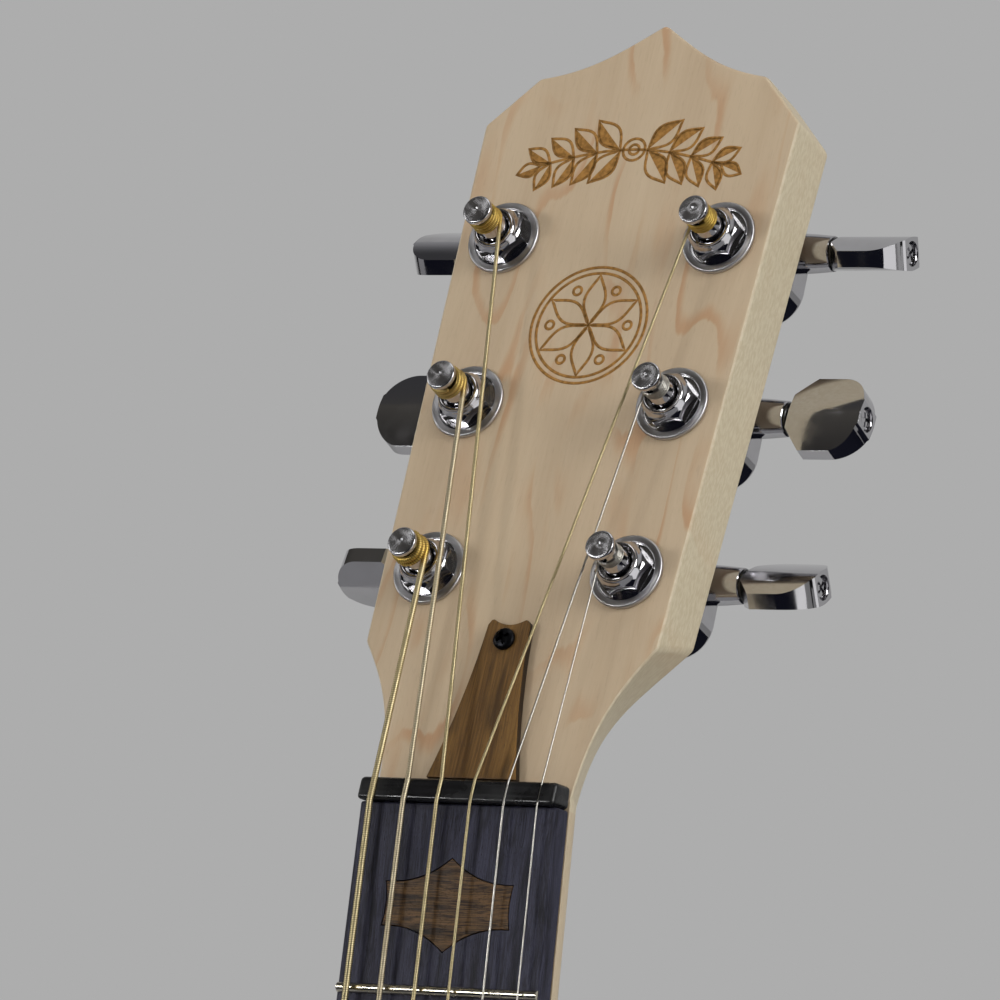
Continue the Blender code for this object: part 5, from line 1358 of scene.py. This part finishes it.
BALL = (1.9 * MM, 2.6 * MM)
BALL_PROFILE = [(0.7 * MM, BALL[1] / 2)]
BALL_PROFILE += [(BALL[0] - 0.45 * MM * abs(math.cos(math.pi * k / 12)) ** 2,
                  BALL[1] / 2 * math.cos(math.pi * k / 12)) for k in range(13)]
BALL_PROFILE.append((0.7 * MM, -BALL[1] / 2))
balls = []
for number in range(len(STRINGS)):
    across = string_across(number, STRING_SPAN_BRIDGE)
    spot = POT @ Matrix.Translation((across, -TAIL_LIP - TAIL_LIP_LENGTH - 2.3 * MM, TAIL_STRING_HEIGHT))
    balls.append(moved(lathe(BALL_PROFILE, 28, ring=True), spot @ Matrix.Rotation(math.pi / 2, 4, "Y")))
BRASS = make_metal("ball_brass", tone(206, 170, 96), (0.22, 0.4), 0.005 * MM)
piece("string_balls", shaded(joined(balls), 50), BRASS)

# Pot: rim
# Three plies of maple steamed and bent into a ring, turned true, sanded and oiled.
# Its front edge slopes to a narrow bearing line for the drum head.
RIM_WALL = 12.7 * MM
RIM_DEPTH = 70 * MM
SKIN = 0.5 * MM
BOLT_DEPTH = 30 * MM
BOLT_HOLE = 3.2 * MM


def make_rim():
    inner = RIM_RADIUS - RIM_WALL
    top = -SKIN - 0.1 * MM
    profile = [(RIM_RADIUS - 2.4 * MM, top), (RIM_RADIUS - 1.2 * MM, top - 0.7 * MM),
               (RIM_RADIUS - 0.3 * MM, top - 1.6 * MM),
               (RIM_RADIUS, top - 2.6 * MM), (RIM_RADIUS, 1.5 * MM - RIM_DEPTH),
               (RIM_RADIUS - 0.45 * MM, 0.45 * MM - RIM_DEPTH),
               (RIM_RADIUS - 1.5 * MM, -RIM_DEPTH), (inner + 1.5 * MM, -RIM_DEPTH),
               (inner + 0.45 * MM, 0.45 * MM - RIM_DEPTH),
               (inner, 1.5 * MM - RIM_DEPTH), (inner, top - 5 * MM), (inner + 1 * MM, top - 3.4 * MM),
               (inner + 5 * MM, top - 0.3 * MM), (inner + 6 * MM, top)]
    rim = lathe(profile, 192, ring=True)
    hole = moved(rod(BOLT_HOLE, inner - 5 * MM, RIM_RADIUS + 5 * MM, 32, "Y"),
                 Matrix.Translation((0, 0, -BOLT_DEPTH)))
    return combined(rim, [hole, moved(hole.copy(), Matrix.Rotation(math.pi, 4, "Z"))], "DIFFERENCE")


def bent_grain(place):
    """Grain that follows the bend; the start of the ply lies at the neck."""
    turn = math.atan2(place.x, place.y)
    return Vector((place.z, turn * RIM_RADIUS, math.hypot(place.x, place.y)))


RIM_MAPLE = make_wood("bent_maple", {
    "Light": tone(205, 184, 156), "Dark": tone(192, 168, 140), "Flame": tone(204, 158, 122),
    "Flame Amount": 0.35, "Pores": 0.12}, Specular_IOR_Level=0.35)
rim = written(shaded(make_rim(), 40), "grain", bent_grain)
piece("rim", moved(rim, POT), RIM_MAPLE, stands_for=["rim"])

# Pot: drum head
# A polyester film, sprayed on top with a fine white coat, its edge gripped in a flesh hoop, metal on the
# real head, here made in one with the film and in its finish.
# It is pulled down over the rim's bearing edge like a drum's.
COLLAR_INNER = RIM_RADIUS + 0.2 * MM
COLLAR_OUTER = COLLAR_INNER + SKIN
FLESH_HOOP = (3 * MM, 3.6 * MM)


def make_drum_head():
    top = -10 * MM
    profile = [(0, 0), (0.5 * COLLAR_OUTER, 0), (COLLAR_OUTER - 2.2 * MM, 0),
               (COLLAR_OUTER - 1 * MM, -0.25 * MM),
               (COLLAR_OUTER - 0.3 * MM, -0.9 * MM), (COLLAR_OUTER, -2 * MM), (COLLAR_OUTER, top)]
    profile += [(COLLAR_OUTER + FLESH_HOOP[0] - 0.5 * MM, top - 0.4 * MM),
                (COLLAR_OUTER + FLESH_HOOP[0], top - 0.9 * MM),
                (COLLAR_OUTER + FLESH_HOOP[0], top - FLESH_HOOP[1] + 0.5 * MM),
                (COLLAR_OUTER + FLESH_HOOP[0] - 0.5 * MM, top - FLESH_HOOP[1]),
                (COLLAR_INNER, top - FLESH_HOOP[1]),
                (COLLAR_INNER, -2 * MM), (COLLAR_INNER - 0.7 * MM, -SKIN - 0.5 * MM),
                (COLLAR_INNER - 2 * MM, -SKIN), (0, -SKIN)]
    return lathe(profile, 192)


SKIN_COAT, skin_tree, skin_shader = new_finish("coated_film", Specular_IOR_Level=0.4,
                                               Subsurface_Weight=0.15, Subsurface_Scale=1 * MM)
skin_place = object_place(skin_tree)
skin_grit = stretched_noise(skin_tree, skin_place, (0.45 * MM, 0.45 * MM, 0.45 * MM), 3.0, 0.7)
skin_cloud = stretched_noise(skin_tree, skin_place, (34 * MM, 34 * MM, 34 * MM), 4.0, 0.6)
skin_centre = add(skin_tree, "ShaderNodeVectorMath", {0: skin_place, 1: (0, -HEAD_SURFACE, POT_CENTRE)},
                  operation="ADD").outputs[0]
skin_out = add(skin_tree, "ShaderNodeVectorMath", {0: skin_centre}, operation="LENGTH").outputs["Value"]
skin_edge = between(skin_tree, skin_out, RIM_RADIUS - 3 * MM, RIM_RADIUS + 1 * MM)
skin_base = mixed(skin_tree, between(skin_tree, skin_cloud, 0.35, 0.7), tone(232, 231, 226),
                  tone(222, 220, 212))
coloured(skin_tree, skin_shader, mixed(skin_tree, maths(skin_tree, "MULTIPLY", skin_edge, 0.5), skin_base,
                                       tone(198, 194, 182)))
roughened(skin_tree, skin_shader, skin_cloud, 0.5, 0.72)
bumped(skin_tree, skin_shader, skin_grit, 0.03 * MM)
piece("drum_head", shaded(moved(make_drum_head(), POT), 40), SKIN_COAT,
      stands_for=["drum_head"])

# Pot: tension hoop with its hooks, shoes and nuts
# A rolled and chromed steel hoop pulled down by sixteen round hooks with bent claws.
# Each hook goes through a shoe bolted to the rim and is tightened by a nut below.
HOOP_INNER = COLLAR_OUTER + 0.2 * MM
HOOP_OUTER = HOOP_INNER + 4.8 * MM
HOOP_PROUD = 2.0 * MM
HOOK_COUNT = 16
HOOK_GAP_AT_NECK = math.radians(28)
HOOK_AXIS = HOOP_OUTER + 2.7 * MM
HOOK_RADIUS = 2.0 * MM
HOOK_BEND = 2.2 * MM
HOOK_CLAW_FLAT = 0.62
HOOK_CLAW_WIDE = 1.25
SHOE_TOP = 37 * MM
SHOE_HEIGHT = 8 * MM
SHOE_WIDTH = 11 * MM
HOOK_NUT = (4.2 * MM, 7 * MM)

hoop_bottom = -9.8 * MM
hoop_edge = 0.7 * MM
hoop_profile = [(HOOP_OUTER - hoop_edge, HOOP_PROUD), (HOOP_OUTER - 0.2 * MM, HOOP_PROUD - 0.2 * MM),
                (HOOP_OUTER, HOOP_PROUD - hoop_edge), (HOOP_OUTER, hoop_bottom + hoop_edge),
                (HOOP_OUTER - hoop_edge, hoop_bottom), (HOOP_INNER + hoop_edge, hoop_bottom),
                (HOOP_INNER, hoop_bottom + hoop_edge), (HOOP_INNER, HOOP_PROUD - hoop_edge),
                (HOOP_INNER + 0.2 * MM, HOOP_PROUD - 0.2 * MM), (HOOP_INNER + hoop_edge, HOOP_PROUD)]
hoop = moved(lathe(hoop_profile, 192, ring=True), POT)


def make_hook():
    """One hook along X from the pot's axis, with its claw, shoe and nut."""
    top = HOOP_PROUD + 1.6 * MM
    low = -SHOE_TOP - SHOE_HEIGHT - HOOK_NUT[1] - 1 * MM
    rings = []
    path = [(HOOK_AXIS, low), (HOOK_AXIS, top - HOOK_BEND - 1 * MM)]
    path += [(HOOK_AXIS - HOOK_BEND * (1 - math.cos(math.pi / 2 * k / 6)),
              top - 1 * MM - HOOK_BEND + HOOK_BEND * math.sin(math.pi / 2 * k / 6)) for k in range(1, 7)]
    path.append((HOOP_INNER + 1.6 * MM, top - 1 * MM))
    for i, (x, z) in enumerate(path):
        before = Vector(path[max(0, i - 1)])
        after = Vector(path[min(len(path) - 1, i + 1)])
        along = (after - before).normalized()
        flat = HOOK_CLAW_FLAT if i > 1 else 1.0
        wide = HOOK_RADIUS * (HOOK_CLAW_WIDE if i > 1 else 1.0)
        ring = []
        for k in range(20):
            angle = 2 * math.pi * k / 20
            side = wide * math.cos(angle)
            deep = HOOK_RADIUS * flat * math.sin(angle)
            ring.append((x + deep * along.y, side, z - deep * along.x))
        rings.append(ring)
    shank = loft(rings)
    claw = eased(block((HOOP_INNER + 0.7 * MM, -2.5 * MM, HOOP_PROUD - 1.4 * MM),
                       (HOOP_INNER + 2.6 * MM, 2.5 * MM, top - 0.2 * MM)), 0.6 * MM, 3)
    shoe_body = eased(block((RIM_RADIUS + 0.3 * MM, -SHOE_WIDTH / 2, -SHOE_TOP - SHOE_HEIGHT),
                            (HOOK_AXIS + HOOK_RADIUS + 1.5 * MM, SHOE_WIDTH / 2, -SHOE_TOP)), 1.6 * MM, 5)
    hole = moved(rod(HOOK_RADIUS + 0.2 * MM, -SHOE_TOP - SHOE_HEIGHT - 2 * MM, 2 * MM - SHOE_TOP),
                 Matrix.Translation((HOOK_AXIS, 0, 0)))
    shoe = combined(shoe_body, [hole], "DIFFERENCE")
    nut_low = -SHOE_TOP - SHOE_HEIGHT - HOOK_NUT[1]
    corners = hexagon(HOOK_NUT[0], HOOK_AXIS)
    nut = eased(plate(corners, nut_low, nut_low + HOOK_NUT[1] - 0.1 * MM), 0.45 * MM, 3)
    nut = combined(nut, [moved(rod(HOOK_RADIUS + 0.1 * MM, nut_low - 2 * MM, nut_low + 12 * MM),
                               Matrix.Translation((HOOK_AXIS, 0, 0)))], "DIFFERENCE")
    return shaded(joined([shank, claw, shoe, nut]), 40)


def make_hook_tree():
    """Copies of a hook turned about Z, even but for a gap where the neck is."""
    tree, given, gives = new_tree("GeometryNodeTree", "hook_ring", [
        ("Hook", "NodeSocketGeometry", None), ("Count", "NodeSocketInt", HOOK_COUNT),
        ("Gap", "NodeSocketFloat", HOOK_GAP_AT_NECK), ("Finish", "NodeSocketMaterial", None),
    ], [("Hooks", "NodeSocketGeometry")])
    index = tree.nodes.new("GeometryNodeInputIndex").outputs[0]
    step = maths(tree, "DIVIDE", maths(tree, "SUBTRACT", 2 * math.pi, given["Gap"]),
                 maths(tree, "SUBTRACT", given["Count"], 1))
    first = maths(tree, "MULTIPLY_ADD", given["Gap"], 0.5, math.pi / 2)
    turn = maths(tree, "MULTIPLY_ADD", index, step, first)
    points = add(tree, "GeometryNodePoints", {"Count": given["Count"], "Position": (0, 0, 0)})
    whole = add(tree, "GeometryNodeGeometryToInstance", {0: given["Hook"]})
    spin = add(tree, "ShaderNodeCombineXYZ", {2: turn})
    spin_rotation = add(tree, "FunctionNodeEulerToRotation", {0: spin.outputs[0]})
    hooks = add(tree, "GeometryNodeInstanceOnPoints",
                {"Points": points.outputs[0], "Instance": whole.outputs[0],
                 "Rotation": spin_rotation.outputs[0]})
    give_painted(tree, hooks.outputs[0], given["Finish"], gives["Hooks"])
    return tree


hooks = moved(grown(make_hook(), make_hook_tree(), {"Finish": CHROME}), POT)
piece("tension_hoop", shaded(hoop, 40), CHROME, stands_for=["tension_hoop"])
piece("hooks_and_shoes", hooks, CHROME, stands_for=["tension_hoop"])

# Pot: coordinator rod and bolts
# A steel bar across the pot between the neck's bolt and the tailpiece's, which hold both to the rim.
# A chromed spacer stands between the rim and the tailpiece's foot.
rod_reach = (RIM_RADIUS - RIM_WALL) * math.cos(math.pi / 40) - 0.2 * MM
TAIL_FOOT_RADIUS = HOOP_OUTER + 4.5 * MM
TAIL_PLATE = 1.8 * MM
TAIL_BOLT_HEAD = (5.5 * MM, 4.5 * MM)
TAIL_BOLT_RADIUS = 3.0 * MM
ROD_RADIUS = 5.5 * MM
ROD_EDGE = 0.6 * MM
ROD_BORE_DEPTH = 10.2 * MM
WRENCH_HOLE = (1.6 * MM, -8 * MM, 8 * MM)
WRENCH_HOLE_IN = 24 * MM
SPACER_RADIUS = 6.5 * MM
SPACER_EDGE = 0.5 * MM
BOLT_PLACE = POT @ Matrix.Translation((0, 0, -BOLT_DEPTH))
TAIL_SIDE = BOLT_PLACE @ Matrix.Rotation(math.pi, 4, "Z")
LATHE_Y = Matrix.Rotation(-math.pi / 2, 4, "X")
bar_profile = [(0, rod_reach), (ROD_RADIUS - ROD_EDGE, rod_reach), (ROD_RADIUS, rod_reach - ROD_EDGE),
               (ROD_RADIUS, ROD_EDGE - rod_reach), (ROD_RADIUS - ROD_EDGE, -rod_reach), (0, -rod_reach)]
bar = moved(lathe(bar_profile, 48), LATHE_Y)
bores = [rod(BOLT_HOLE, rod_reach - ROD_BORE_DEPTH, rod_reach + 1 * MM, 32, "Y"),
         rod(BOLT_HOLE, -rod_reach - 1 * MM, ROD_BORE_DEPTH - rod_reach, 32, "Y")]
wrench_hole = moved(rod(*WRENCH_HOLE, 24, "X"), Matrix.Translation((0, rod_reach - WRENCH_HOLE_IN, 0)))
bar = combined(bar, bores + [wrench_hole], "DIFFERENCE")
piece("coordinator_rod", shaded(moved(bar, BOLT_PLACE)), CUT_STEEL,
      stands_for=["coordinator_rod"])
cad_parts["neck_bolt"].data.materials[0] = CUT_STEEL
seat = TAIL_FOOT_RADIUS + TAIL_PLATE + 0.1 * MM
bolt_head = plate(hexagon(TAIL_BOLT_HEAD[0]), seat, seat + TAIL_BOLT_HEAD[1])
bolt_head = moved(eased(bolt_head, 0.5 * MM, 3), LATHE_Y)
bolt = combined(rod(TAIL_BOLT_RADIUS, rod_reach - 10 * MM, seat + 1 * MM, 32, "Y"), [bolt_head], "UNION")
piece("tail_bolt", shaded(moved(bolt, TAIL_SIDE)), CHROME, stands_for=["tail_bolt"])
spacer_low = RIM_RADIUS + 0.1 * MM
spacer_high = TAIL_FOOT_RADIUS - 0.1 * MM
spacer_profile = [(SPACER_RADIUS - SPACER_EDGE, spacer_high), (SPACER_RADIUS, spacer_high - SPACER_EDGE),
                  (SPACER_RADIUS, spacer_low + SPACER_EDGE), (SPACER_RADIUS - SPACER_EDGE, spacer_low),
                  (BOLT_HOLE, spacer_low), (BOLT_HOLE, spacer_high)]
spacer = moved(lathe(spacer_profile, 48, ring=True), LATHE_Y)
piece("tail_spacer", shaded(moved(spacer, TAIL_SIDE), 40), CHROME, stands_for=["tail_spacer"])

# Tailpiece
# A stamped steel plate, chromed, bent over the hoop to a foot on the tail bolt.
# Its turned-up lip has a hole for each string.
TAIL_WIDTH = 62 * MM
TAIL_FOOT_WIDTH = 26 * MM
TAIL_LIP_HEIGHT = 7 * MM
TAIL_TOP = HOOP_PROUD + 3.4 * MM


def make_tailpiece():
    foot = TAIL_FOOT_RADIUS
    low = -BOLT_DEPTH - 6.5 * MM
    bend = 5 * MM
    side = [(TAIL_LIP, TAIL_TOP + TAIL_LIP_HEIGHT), (TAIL_LIP, TAIL_TOP - TAIL_PLATE)]
    side += [(foot - bend + bend * math.sin(math.pi / 2 * k / 8),
              TAIL_TOP - TAIL_PLATE - bend + bend * math.cos(math.pi / 2 * k / 8)) for k in range(9)]
    side += [(foot, low), (foot + TAIL_PLATE, low)]
    outer = bend + TAIL_PLATE
    side += [(foot - bend + outer * math.cos(math.pi / 2 * k / 8),
              TAIL_TOP - outer + outer * math.sin(math.pi / 2 * k / 8)) for k in range(9)]
    side += [(TAIL_LIP + TAIL_LIP_LENGTH, TAIL_TOP),
             (TAIL_LIP + TAIL_LIP_LENGTH, TAIL_TOP + TAIL_LIP_HEIGHT)]
    stand = Matrix(((0, 0, 1, 0), (-1, 0, 0, 0), (0, 1, 0, 0), (0, 0, 0, 1)))
    body = moved(plate(side, -TAIL_WIDTH / 2, TAIL_WIDTH / 2), stand)
    trims = []
    for hand in (-1, 1):
        near = TAIL_FOOT_WIDTH / 2
        far = TAIL_WIDTH / 2 + 2 * MM
        edge = [(far, -TAIL_LIP - 9 * MM)]
        edge += [(far - (far - near) * (0.5 - 0.5 * math.cos(math.pi * k / 10)),
                  -TAIL_LIP - 9 * MM - (foot - 12 * MM - TAIL_LIP - 9 * MM) * k / 10) for k in range(1, 11)]
        edge += [(near, -foot - 6 * MM), (far, -foot - 6 * MM)]
        outline = [(hand * x, y) for x, y in edge]
        trims.append(plate(outline if hand > 0 else outline[::-1], low - 2 * MM, TAIL_TOP + 2 * MM))
    hole = moved(rod(3.2 * MM, foot - 2 * MM, foot + 4 * MM, 32, "Y"),
                 Matrix.Translation((0, 0, -BOLT_DEPTH)) @ Matrix.Rotation(math.pi, 4, "Z"))
    trims.append(hole)
    for number, (_, diameter, _, _) in enumerate(STRINGS):
        slot = rod(diameter / 2 + 0.2 * MM, -TAIL_LIP - 6 * MM, 2 * MM - TAIL_LIP, 20, "Y")
        across = string_across(number, STRING_SPAN_BRIDGE)
        trims.append(moved(slot, Matrix.Translation((across, 0, TAIL_STRING_HEIGHT))))
    return combined(eased(body, 0.35 * MM, 2, 50), trims, "DIFFERENCE")


piece("tailpiece", shaded(moved(make_tailpiece(), POT), 34), CHROME,
      stands_for=["tailpiece"])

# Bridge
# Maple on three feet under a strip of black wood, thinned towards the top and notched for the strings.
# It stands on the drum head, held by the strings' press alone.
BRIDGE_WIDTH = 76 * MM
BRIDGE_TOP_WIDTH = 62 * MM
BRIDGE_THICKNESS = (5 * MM, 2.4 * MM)
BRIDGE_CAP = 2.4 * MM
BRIDGE_FEET = 10 * MM
BRIDGE_ARCH = 6.5 * MM
BRIDGE_STANDS = 0.1 * MM
BRIDGE_FOOT_TOP = 3 * MM


def bridge_part(outline, low_cut, high_cut):
    """The bridge's own slab between two heights."""
    slab = eased(plate(outline, -BRIDGE_THICKNESS[0] / 2, BRIDGE_THICKNESS[0] / 2), 0.3 * MM, 2, 40)
    slab = combined(slab, [block((-60 * MM, low_cut, -9 * MM), (60 * MM, high_cut, 9 * MM))], "INTERSECT")
    for vertex in slab.vertices:
        share = vertex.co.y / BRIDGE_HEIGHT
        vertex.co.z *= 1 + (BRIDGE_THICKNESS[1] / BRIDGE_THICKNESS[0] - 1) * share
    return slab


wide = BRIDGE_WIDTH / 2
arch_start = BRIDGE_FEET / 2
arch_end = wide - BRIDGE_FEET
half = [(arch_start, BRIDGE_STANDS)]
half += [(arch_start + (arch_end - arch_start) * k / 24,
          BRIDGE_STANDS + BRIDGE_ARCH * math.sin(math.pi * k / 24) ** 0.6) for k in range(1, 24)]
half += [(arch_end, BRIDGE_STANDS), (wide, BRIDGE_STANDS), (wide, BRIDGE_FOOT_TOP)]
rise = BRIDGE_HEIGHT - BRIDGE_FOOT_TOP
half += [(wide - (wide - BRIDGE_TOP_WIDTH / 2) * (1 - math.cos(math.pi / 2 * k / 8)),
          BRIDGE_FOOT_TOP + rise * math.sin(math.pi / 2 * k / 8)) for k in range(1, 9)]
bridge_outline = half + [(-x, y) for x, y in reversed(half)]
BRIDGE_STAND = POT @ Matrix(((1, 0, 0, 0), (0, 0, -1, POT_CENTRE - SCALE_LENGTH), (0, 1, 0, 0),
                             (0, 0, 0, 1)))
notches = []
for number, (_, diameter, _, _) in enumerate(STRINGS):
    notch = rod(diameter / 2 + 0.05 * MM, -4 * MM, 4 * MM, 20)
    notches.append(moved(notch, Matrix.Translation((string_across(number, STRING_SPAN_BRIDGE),
                                                    BRIDGE_HEIGHT + 0.12 * MM + diameter / 2, 0))))
saddle = combined(bridge_part(bridge_outline, BRIDGE_HEIGHT - BRIDGE_CAP, BRIDGE_HEIGHT + 1 * MM), notches,
                  "DIFFERENCE")
lower = bridge_part(bridge_outline, -1 * MM, BRIDGE_HEIGHT - BRIDGE_CAP)


def bridge_grain(place):
    return Vector((place.y, place.x, place.z))


BRIDGE_BLACK = make_wood("black_wood", {
    "Light": tone(52, 44, 40), "Dark": tone(24, 20, 18), "Flame": tone(14, 11, 10), "Coarseness": 0.4,
    "Contrast": 1.2, "Pores": 0.5}, (0.32, 0.5), 0.04 * MM)
piece("bridge", moved(written(shaded(lower), "grain", bridge_grain), BRIDGE_STAND), MAPLE,
      stands_for=["bridge"])
piece("bridge_top", moved(written(shaded(saddle), "grain", bridge_grain), BRIDGE_STAND), BRIDGE_BLACK,
      stands_for=["bridge"])

# Side dots
# Small white plastic rods set in the bass edge of the board, where the player sees them.
# Each is cut off and sanded flush.
DOT_RADIUS = 1.2 * MM
DOT_DEPTH = 1.2 * MM
DOT_PROUD = 0.06 * MM
DOT_PAIR = 3.4 * MM
dots = []
for number in SMALL_INLAY_FRETS:
    down = (fret_place(number) + fret_place(number - 1)) / 2
    spread = (-DOT_PAIR, DOT_PAIR) if number == 12 else (0,)
    for shift in spread:
        dot = eased(rod(DOT_RADIUS, -DOT_PROUD, DOT_DEPTH, 28, "X"), 0.04 * MM, 1, 60)
        lean = Matrix.Rotation(-math.atan((WIDTH_AT_12 - NUT_WIDTH) / SCALE_LENGTH), 4, "Y")
        dots.append(moved(dot, Matrix.Translation((-half_board(down + shift), BOARD_THICKNESS / 2,
                                                   -down - shift)) @ lean))
DOT_WHITE, dot_tree, dot_shader = new_finish("dot_white", Specular_IOR_Level=0.4)
dot_cloud = stretched_noise(dot_tree, object_place(dot_tree), (0.8 * MM, 0.8 * MM, 0.8 * MM), 2.0)
coloured(dot_tree, dot_shader, mixed(dot_tree, dot_cloud, tone(226, 222, 210), tone(206, 200, 186)))
roughened(dot_tree, dot_shader, dot_cloud, 0.35, 0.5)
piece("side_dots", shaded(joined(dots), 40), DOT_WHITE)

# Stage: floor, backdrop tone, lamps and camera
# A plain pale paper floor under the pot, with five lamps and a lit room round the banjo.
# Drapes and boards that glow with set tones hang about it where only the polished metal sees them: painted
# light and shade in its reflections.
BACKDROP = tone(173, 173, 173)
FLOOR_GAP = 2 * MM
FLOOR_REACH = 30
FLOOR_THICKNESS = 0.05
ROOM_LIGHT = 0.42
floor_level = cad_box[0].z - FLOOR_GAP
floor = carrier_of(block((-FLOOR_REACH, -FLOOR_REACH, floor_level - FLOOR_THICKNESS),
                         (FLOOR_REACH, FLOOR_REACH, floor_level)))
floor.name = "floor"
floor_finish, floor_tree, floor_shader = new_finish("floor_paper", Roughness=0.9, Specular_IOR_Level=0.1)
floor_fibre = stretched_noise(floor_tree, object_place(floor_tree), (4 * MM, 4 * MM, 4 * MM), 4.0)
coloured(floor_tree, floor_shader, mixed(floor_tree, floor_fibre, tone(196, 196, 196), tone(202, 202, 202)))
floor.data.materials.append(floor_finish)

world = bpy.data.worlds.new("studio")
bpy.context.scene.world = world
world.use_nodes = True
room = world.node_tree
room_light = room.nodes["Background"]
room_light.inputs["Color"].default_value = (1, 1, 1, 1)
room_light.inputs["Strength"].default_value = ROOM_LIGHT
seen = add(room, "ShaderNodeBackground", {"Color": BACKDROP, "Strength": 1.0})
rays = room.nodes.new("ShaderNodeLightPath")
to_eye = maths(room, "MAXIMUM", rays.outputs["Is Camera Ray"],
               maths(room, "MAXIMUM", rays.outputs["Is Glossy Ray"], rays.outputs["Is Transmission Ray"]))
choice = add(room, "ShaderNodeMixShader", {0: to_eye, 1: room_light.outputs[0], 2: seen.outputs[0]})
room.links.new(choice.outputs[0], room.nodes["World Output"].inputs["Surface"])


AIM = Vector((0, 0, 0.05))


def lamp(name, place, size, watts):
    """A rectangular lamp that points at the headstock."""
    light = bpy.data.lights.new(name, "AREA")
    light.shape = "RECTANGLE"
    light.size, light.size_y = size
    light.energy = watts
    made = bpy.data.objects.new(name, light)
    bpy.context.scene.collection.objects.link(made)
    made.location = place
    made.rotation_euler = (AIM - Vector(place)).to_track_quat("-Z", "Y").to_euler()
    made.visible_camera = False
    return made


lamp("key_lamp", (2.4, -0.75, 1.15), (1.2, 1.4), 41)
lamp("left_lamp", AIM + 2.6 * Vector((-0.93, -0.36, 0.14)), (0.7, 0.9), 7.5)
lamp("front_lamp", AIM + 2.5 * Vector((-0.5, -0.86, 0.05)), (0.6, 0.32), 13.5)
lamp("top_lamp", (0.2, -0.5, 2.5), (1.4, 0.9), 8)
lamp("cap_lamp", AIM + 2.2 * Vector((-0.33, -0.62, 0.71)), (0.3, 0.22), 0.5)


def make_glow(name, low, high, start=-1.2, end=1.6):
    """A drape's painted light: a glow that goes from one set tone to the other along its height."""
    made, tree, shader = new_finish(name, Roughness=1.0, Specular_IOR_Level=0.0, Base_Color=tone(0, 0, 0))
    height = add(tree, "ShaderNodeSeparateXYZ", {0: object_place(tree)}).outputs["Y"]
    tree.links.new(mixed(tree, between(tree, height, start, end), low, high),
                   shader.inputs["Emission Color"])
    shader.inputs["Emission Strength"].default_value = 1.0
    return made


def drape(name, bearing, distance, size, glow_finish):
    """A hanging sheet that glows with a set tone as painted light, seen only in the polished metal, square
    to its bearing from the headstock.
    """
    sheet = carrier_of(block((-size[0] / 2, -size[1] / 2, -0.005), (size[0] / 2, size[1] / 2, 0.005)))
    sheet.name = name
    sheet.location = AIM + distance * Vector(bearing).normalized()
    sheet.rotation_euler = Vector(bearing).to_track_quat("Z", "Y").to_euler()
    sheet.visible_camera = False
    sheet.visible_diffuse = False
    sheet.visible_shadow = False
    sheet.data.materials.append(glow_finish)
    return sheet


# Painted light and shade for the reflections: the walls glow darker low and lighter high, the boards white
# and near black.
WALL_GLOW = make_glow("wall_cloth", tone(18, 18, 22), tone(76, 74, 70))
CEILING_GLOW = make_glow("ceiling_glow", tone(64, 64, 66), tone(76, 74, 70), -1.8, 1.0)
CEILING_BACK_GLOW = make_glow("ceiling_back_glow", tone(150, 150, 152), tone(64, 64, 66), -0.6, 0.15)
PALE_GLOW = make_glow("pale_glow", tone(140, 140, 142), tone(140, 140, 142))
FLOOR_GLOW = make_glow("floor_glow", tone(20, 21, 30), tone(26, 27, 36))
WHITE_GLOW = make_glow("white_glow", tone(250, 250, 250), tone(250, 250, 250))
BLACK_GLOW = make_glow("black_glow", tone(14, 14, 15), tone(14, 14, 15))
for number, degrees in enumerate(range(-96, 85, 30)):
    heading = math.radians(degrees)
    drape("wall_%d" % number, (math.sin(heading), -math.cos(heading), 0.3), 3.3, (1.9, 3.9), WALL_GLOW)
drape("ceiling_drape", (0, 0, 1), 2.8, (7.0, 3.4), CEILING_GLOW).location.y = -1.7
drape("ceiling_back_drape", (0, 0, 1), 2.8, (7.0, 1.2), CEILING_BACK_GLOW).location.y = 0.6
for name, (low_x, low_y), (high_x, high_y), glow_finish in (
        ("floor_drape_front", (-4, -4), (4, -0.45), FLOOR_GLOW),
        ("floor_drape_middle", (-4, -0.45), (4, 0.3), PALE_GLOW),
        ("floor_drape_back", (-0.2, 0.3), (3, 3), FLOOR_GLOW)):
    mat = drape(name, (0, 0, 1), 1.0, (high_x - low_x, high_y - low_y), glow_finish)
    mat.location = ((low_x + high_x) / 2, (low_y + high_y) / 2, floor_level - 0.004)
drape("low_white", (0.92, -0.17, -0.32), 1.5, (1.15, 1.15), WHITE_GLOW)
drape("far_black", (0.77, 0.59, 0.19), 2.4, (1.0, 1.6), BLACK_GLOW)

LENS = 326.515
TO_CAMERA = ((0.86896701, 0.22715757, -0.43965416), (0.0133026, -0.89882468, -0.43810642),
             (-0.4946912, 0.37485148, -0.78407078))
CAMERA_SHIFT = (-5.12154188 * MM, 55.53692071 * MM, 1721.19752866 * MM)
turn = Matrix(TO_CAMERA)
eye = -(turn.transposed() @ Vector(CAMERA_SHIFT))
axes = Matrix((turn[0], -turn[1], -turn[2])).transposed().to_4x4()
axes.translation = eye
camera_data = bpy.data.cameras.new("camera")
camera_data.lens = LENS
camera_data.sensor_width = 36
camera_data.clip_start = 0.05
camera_data.clip_end = 100
camera = bpy.data.objects.new("camera", camera_data)
bpy.context.scene.collection.objects.link(camera)
camera.matrix_world = HEAD @ axes
bpy.context.scene.camera = camera
bpy.context.scene.view_settings.view_transform = "Standard"
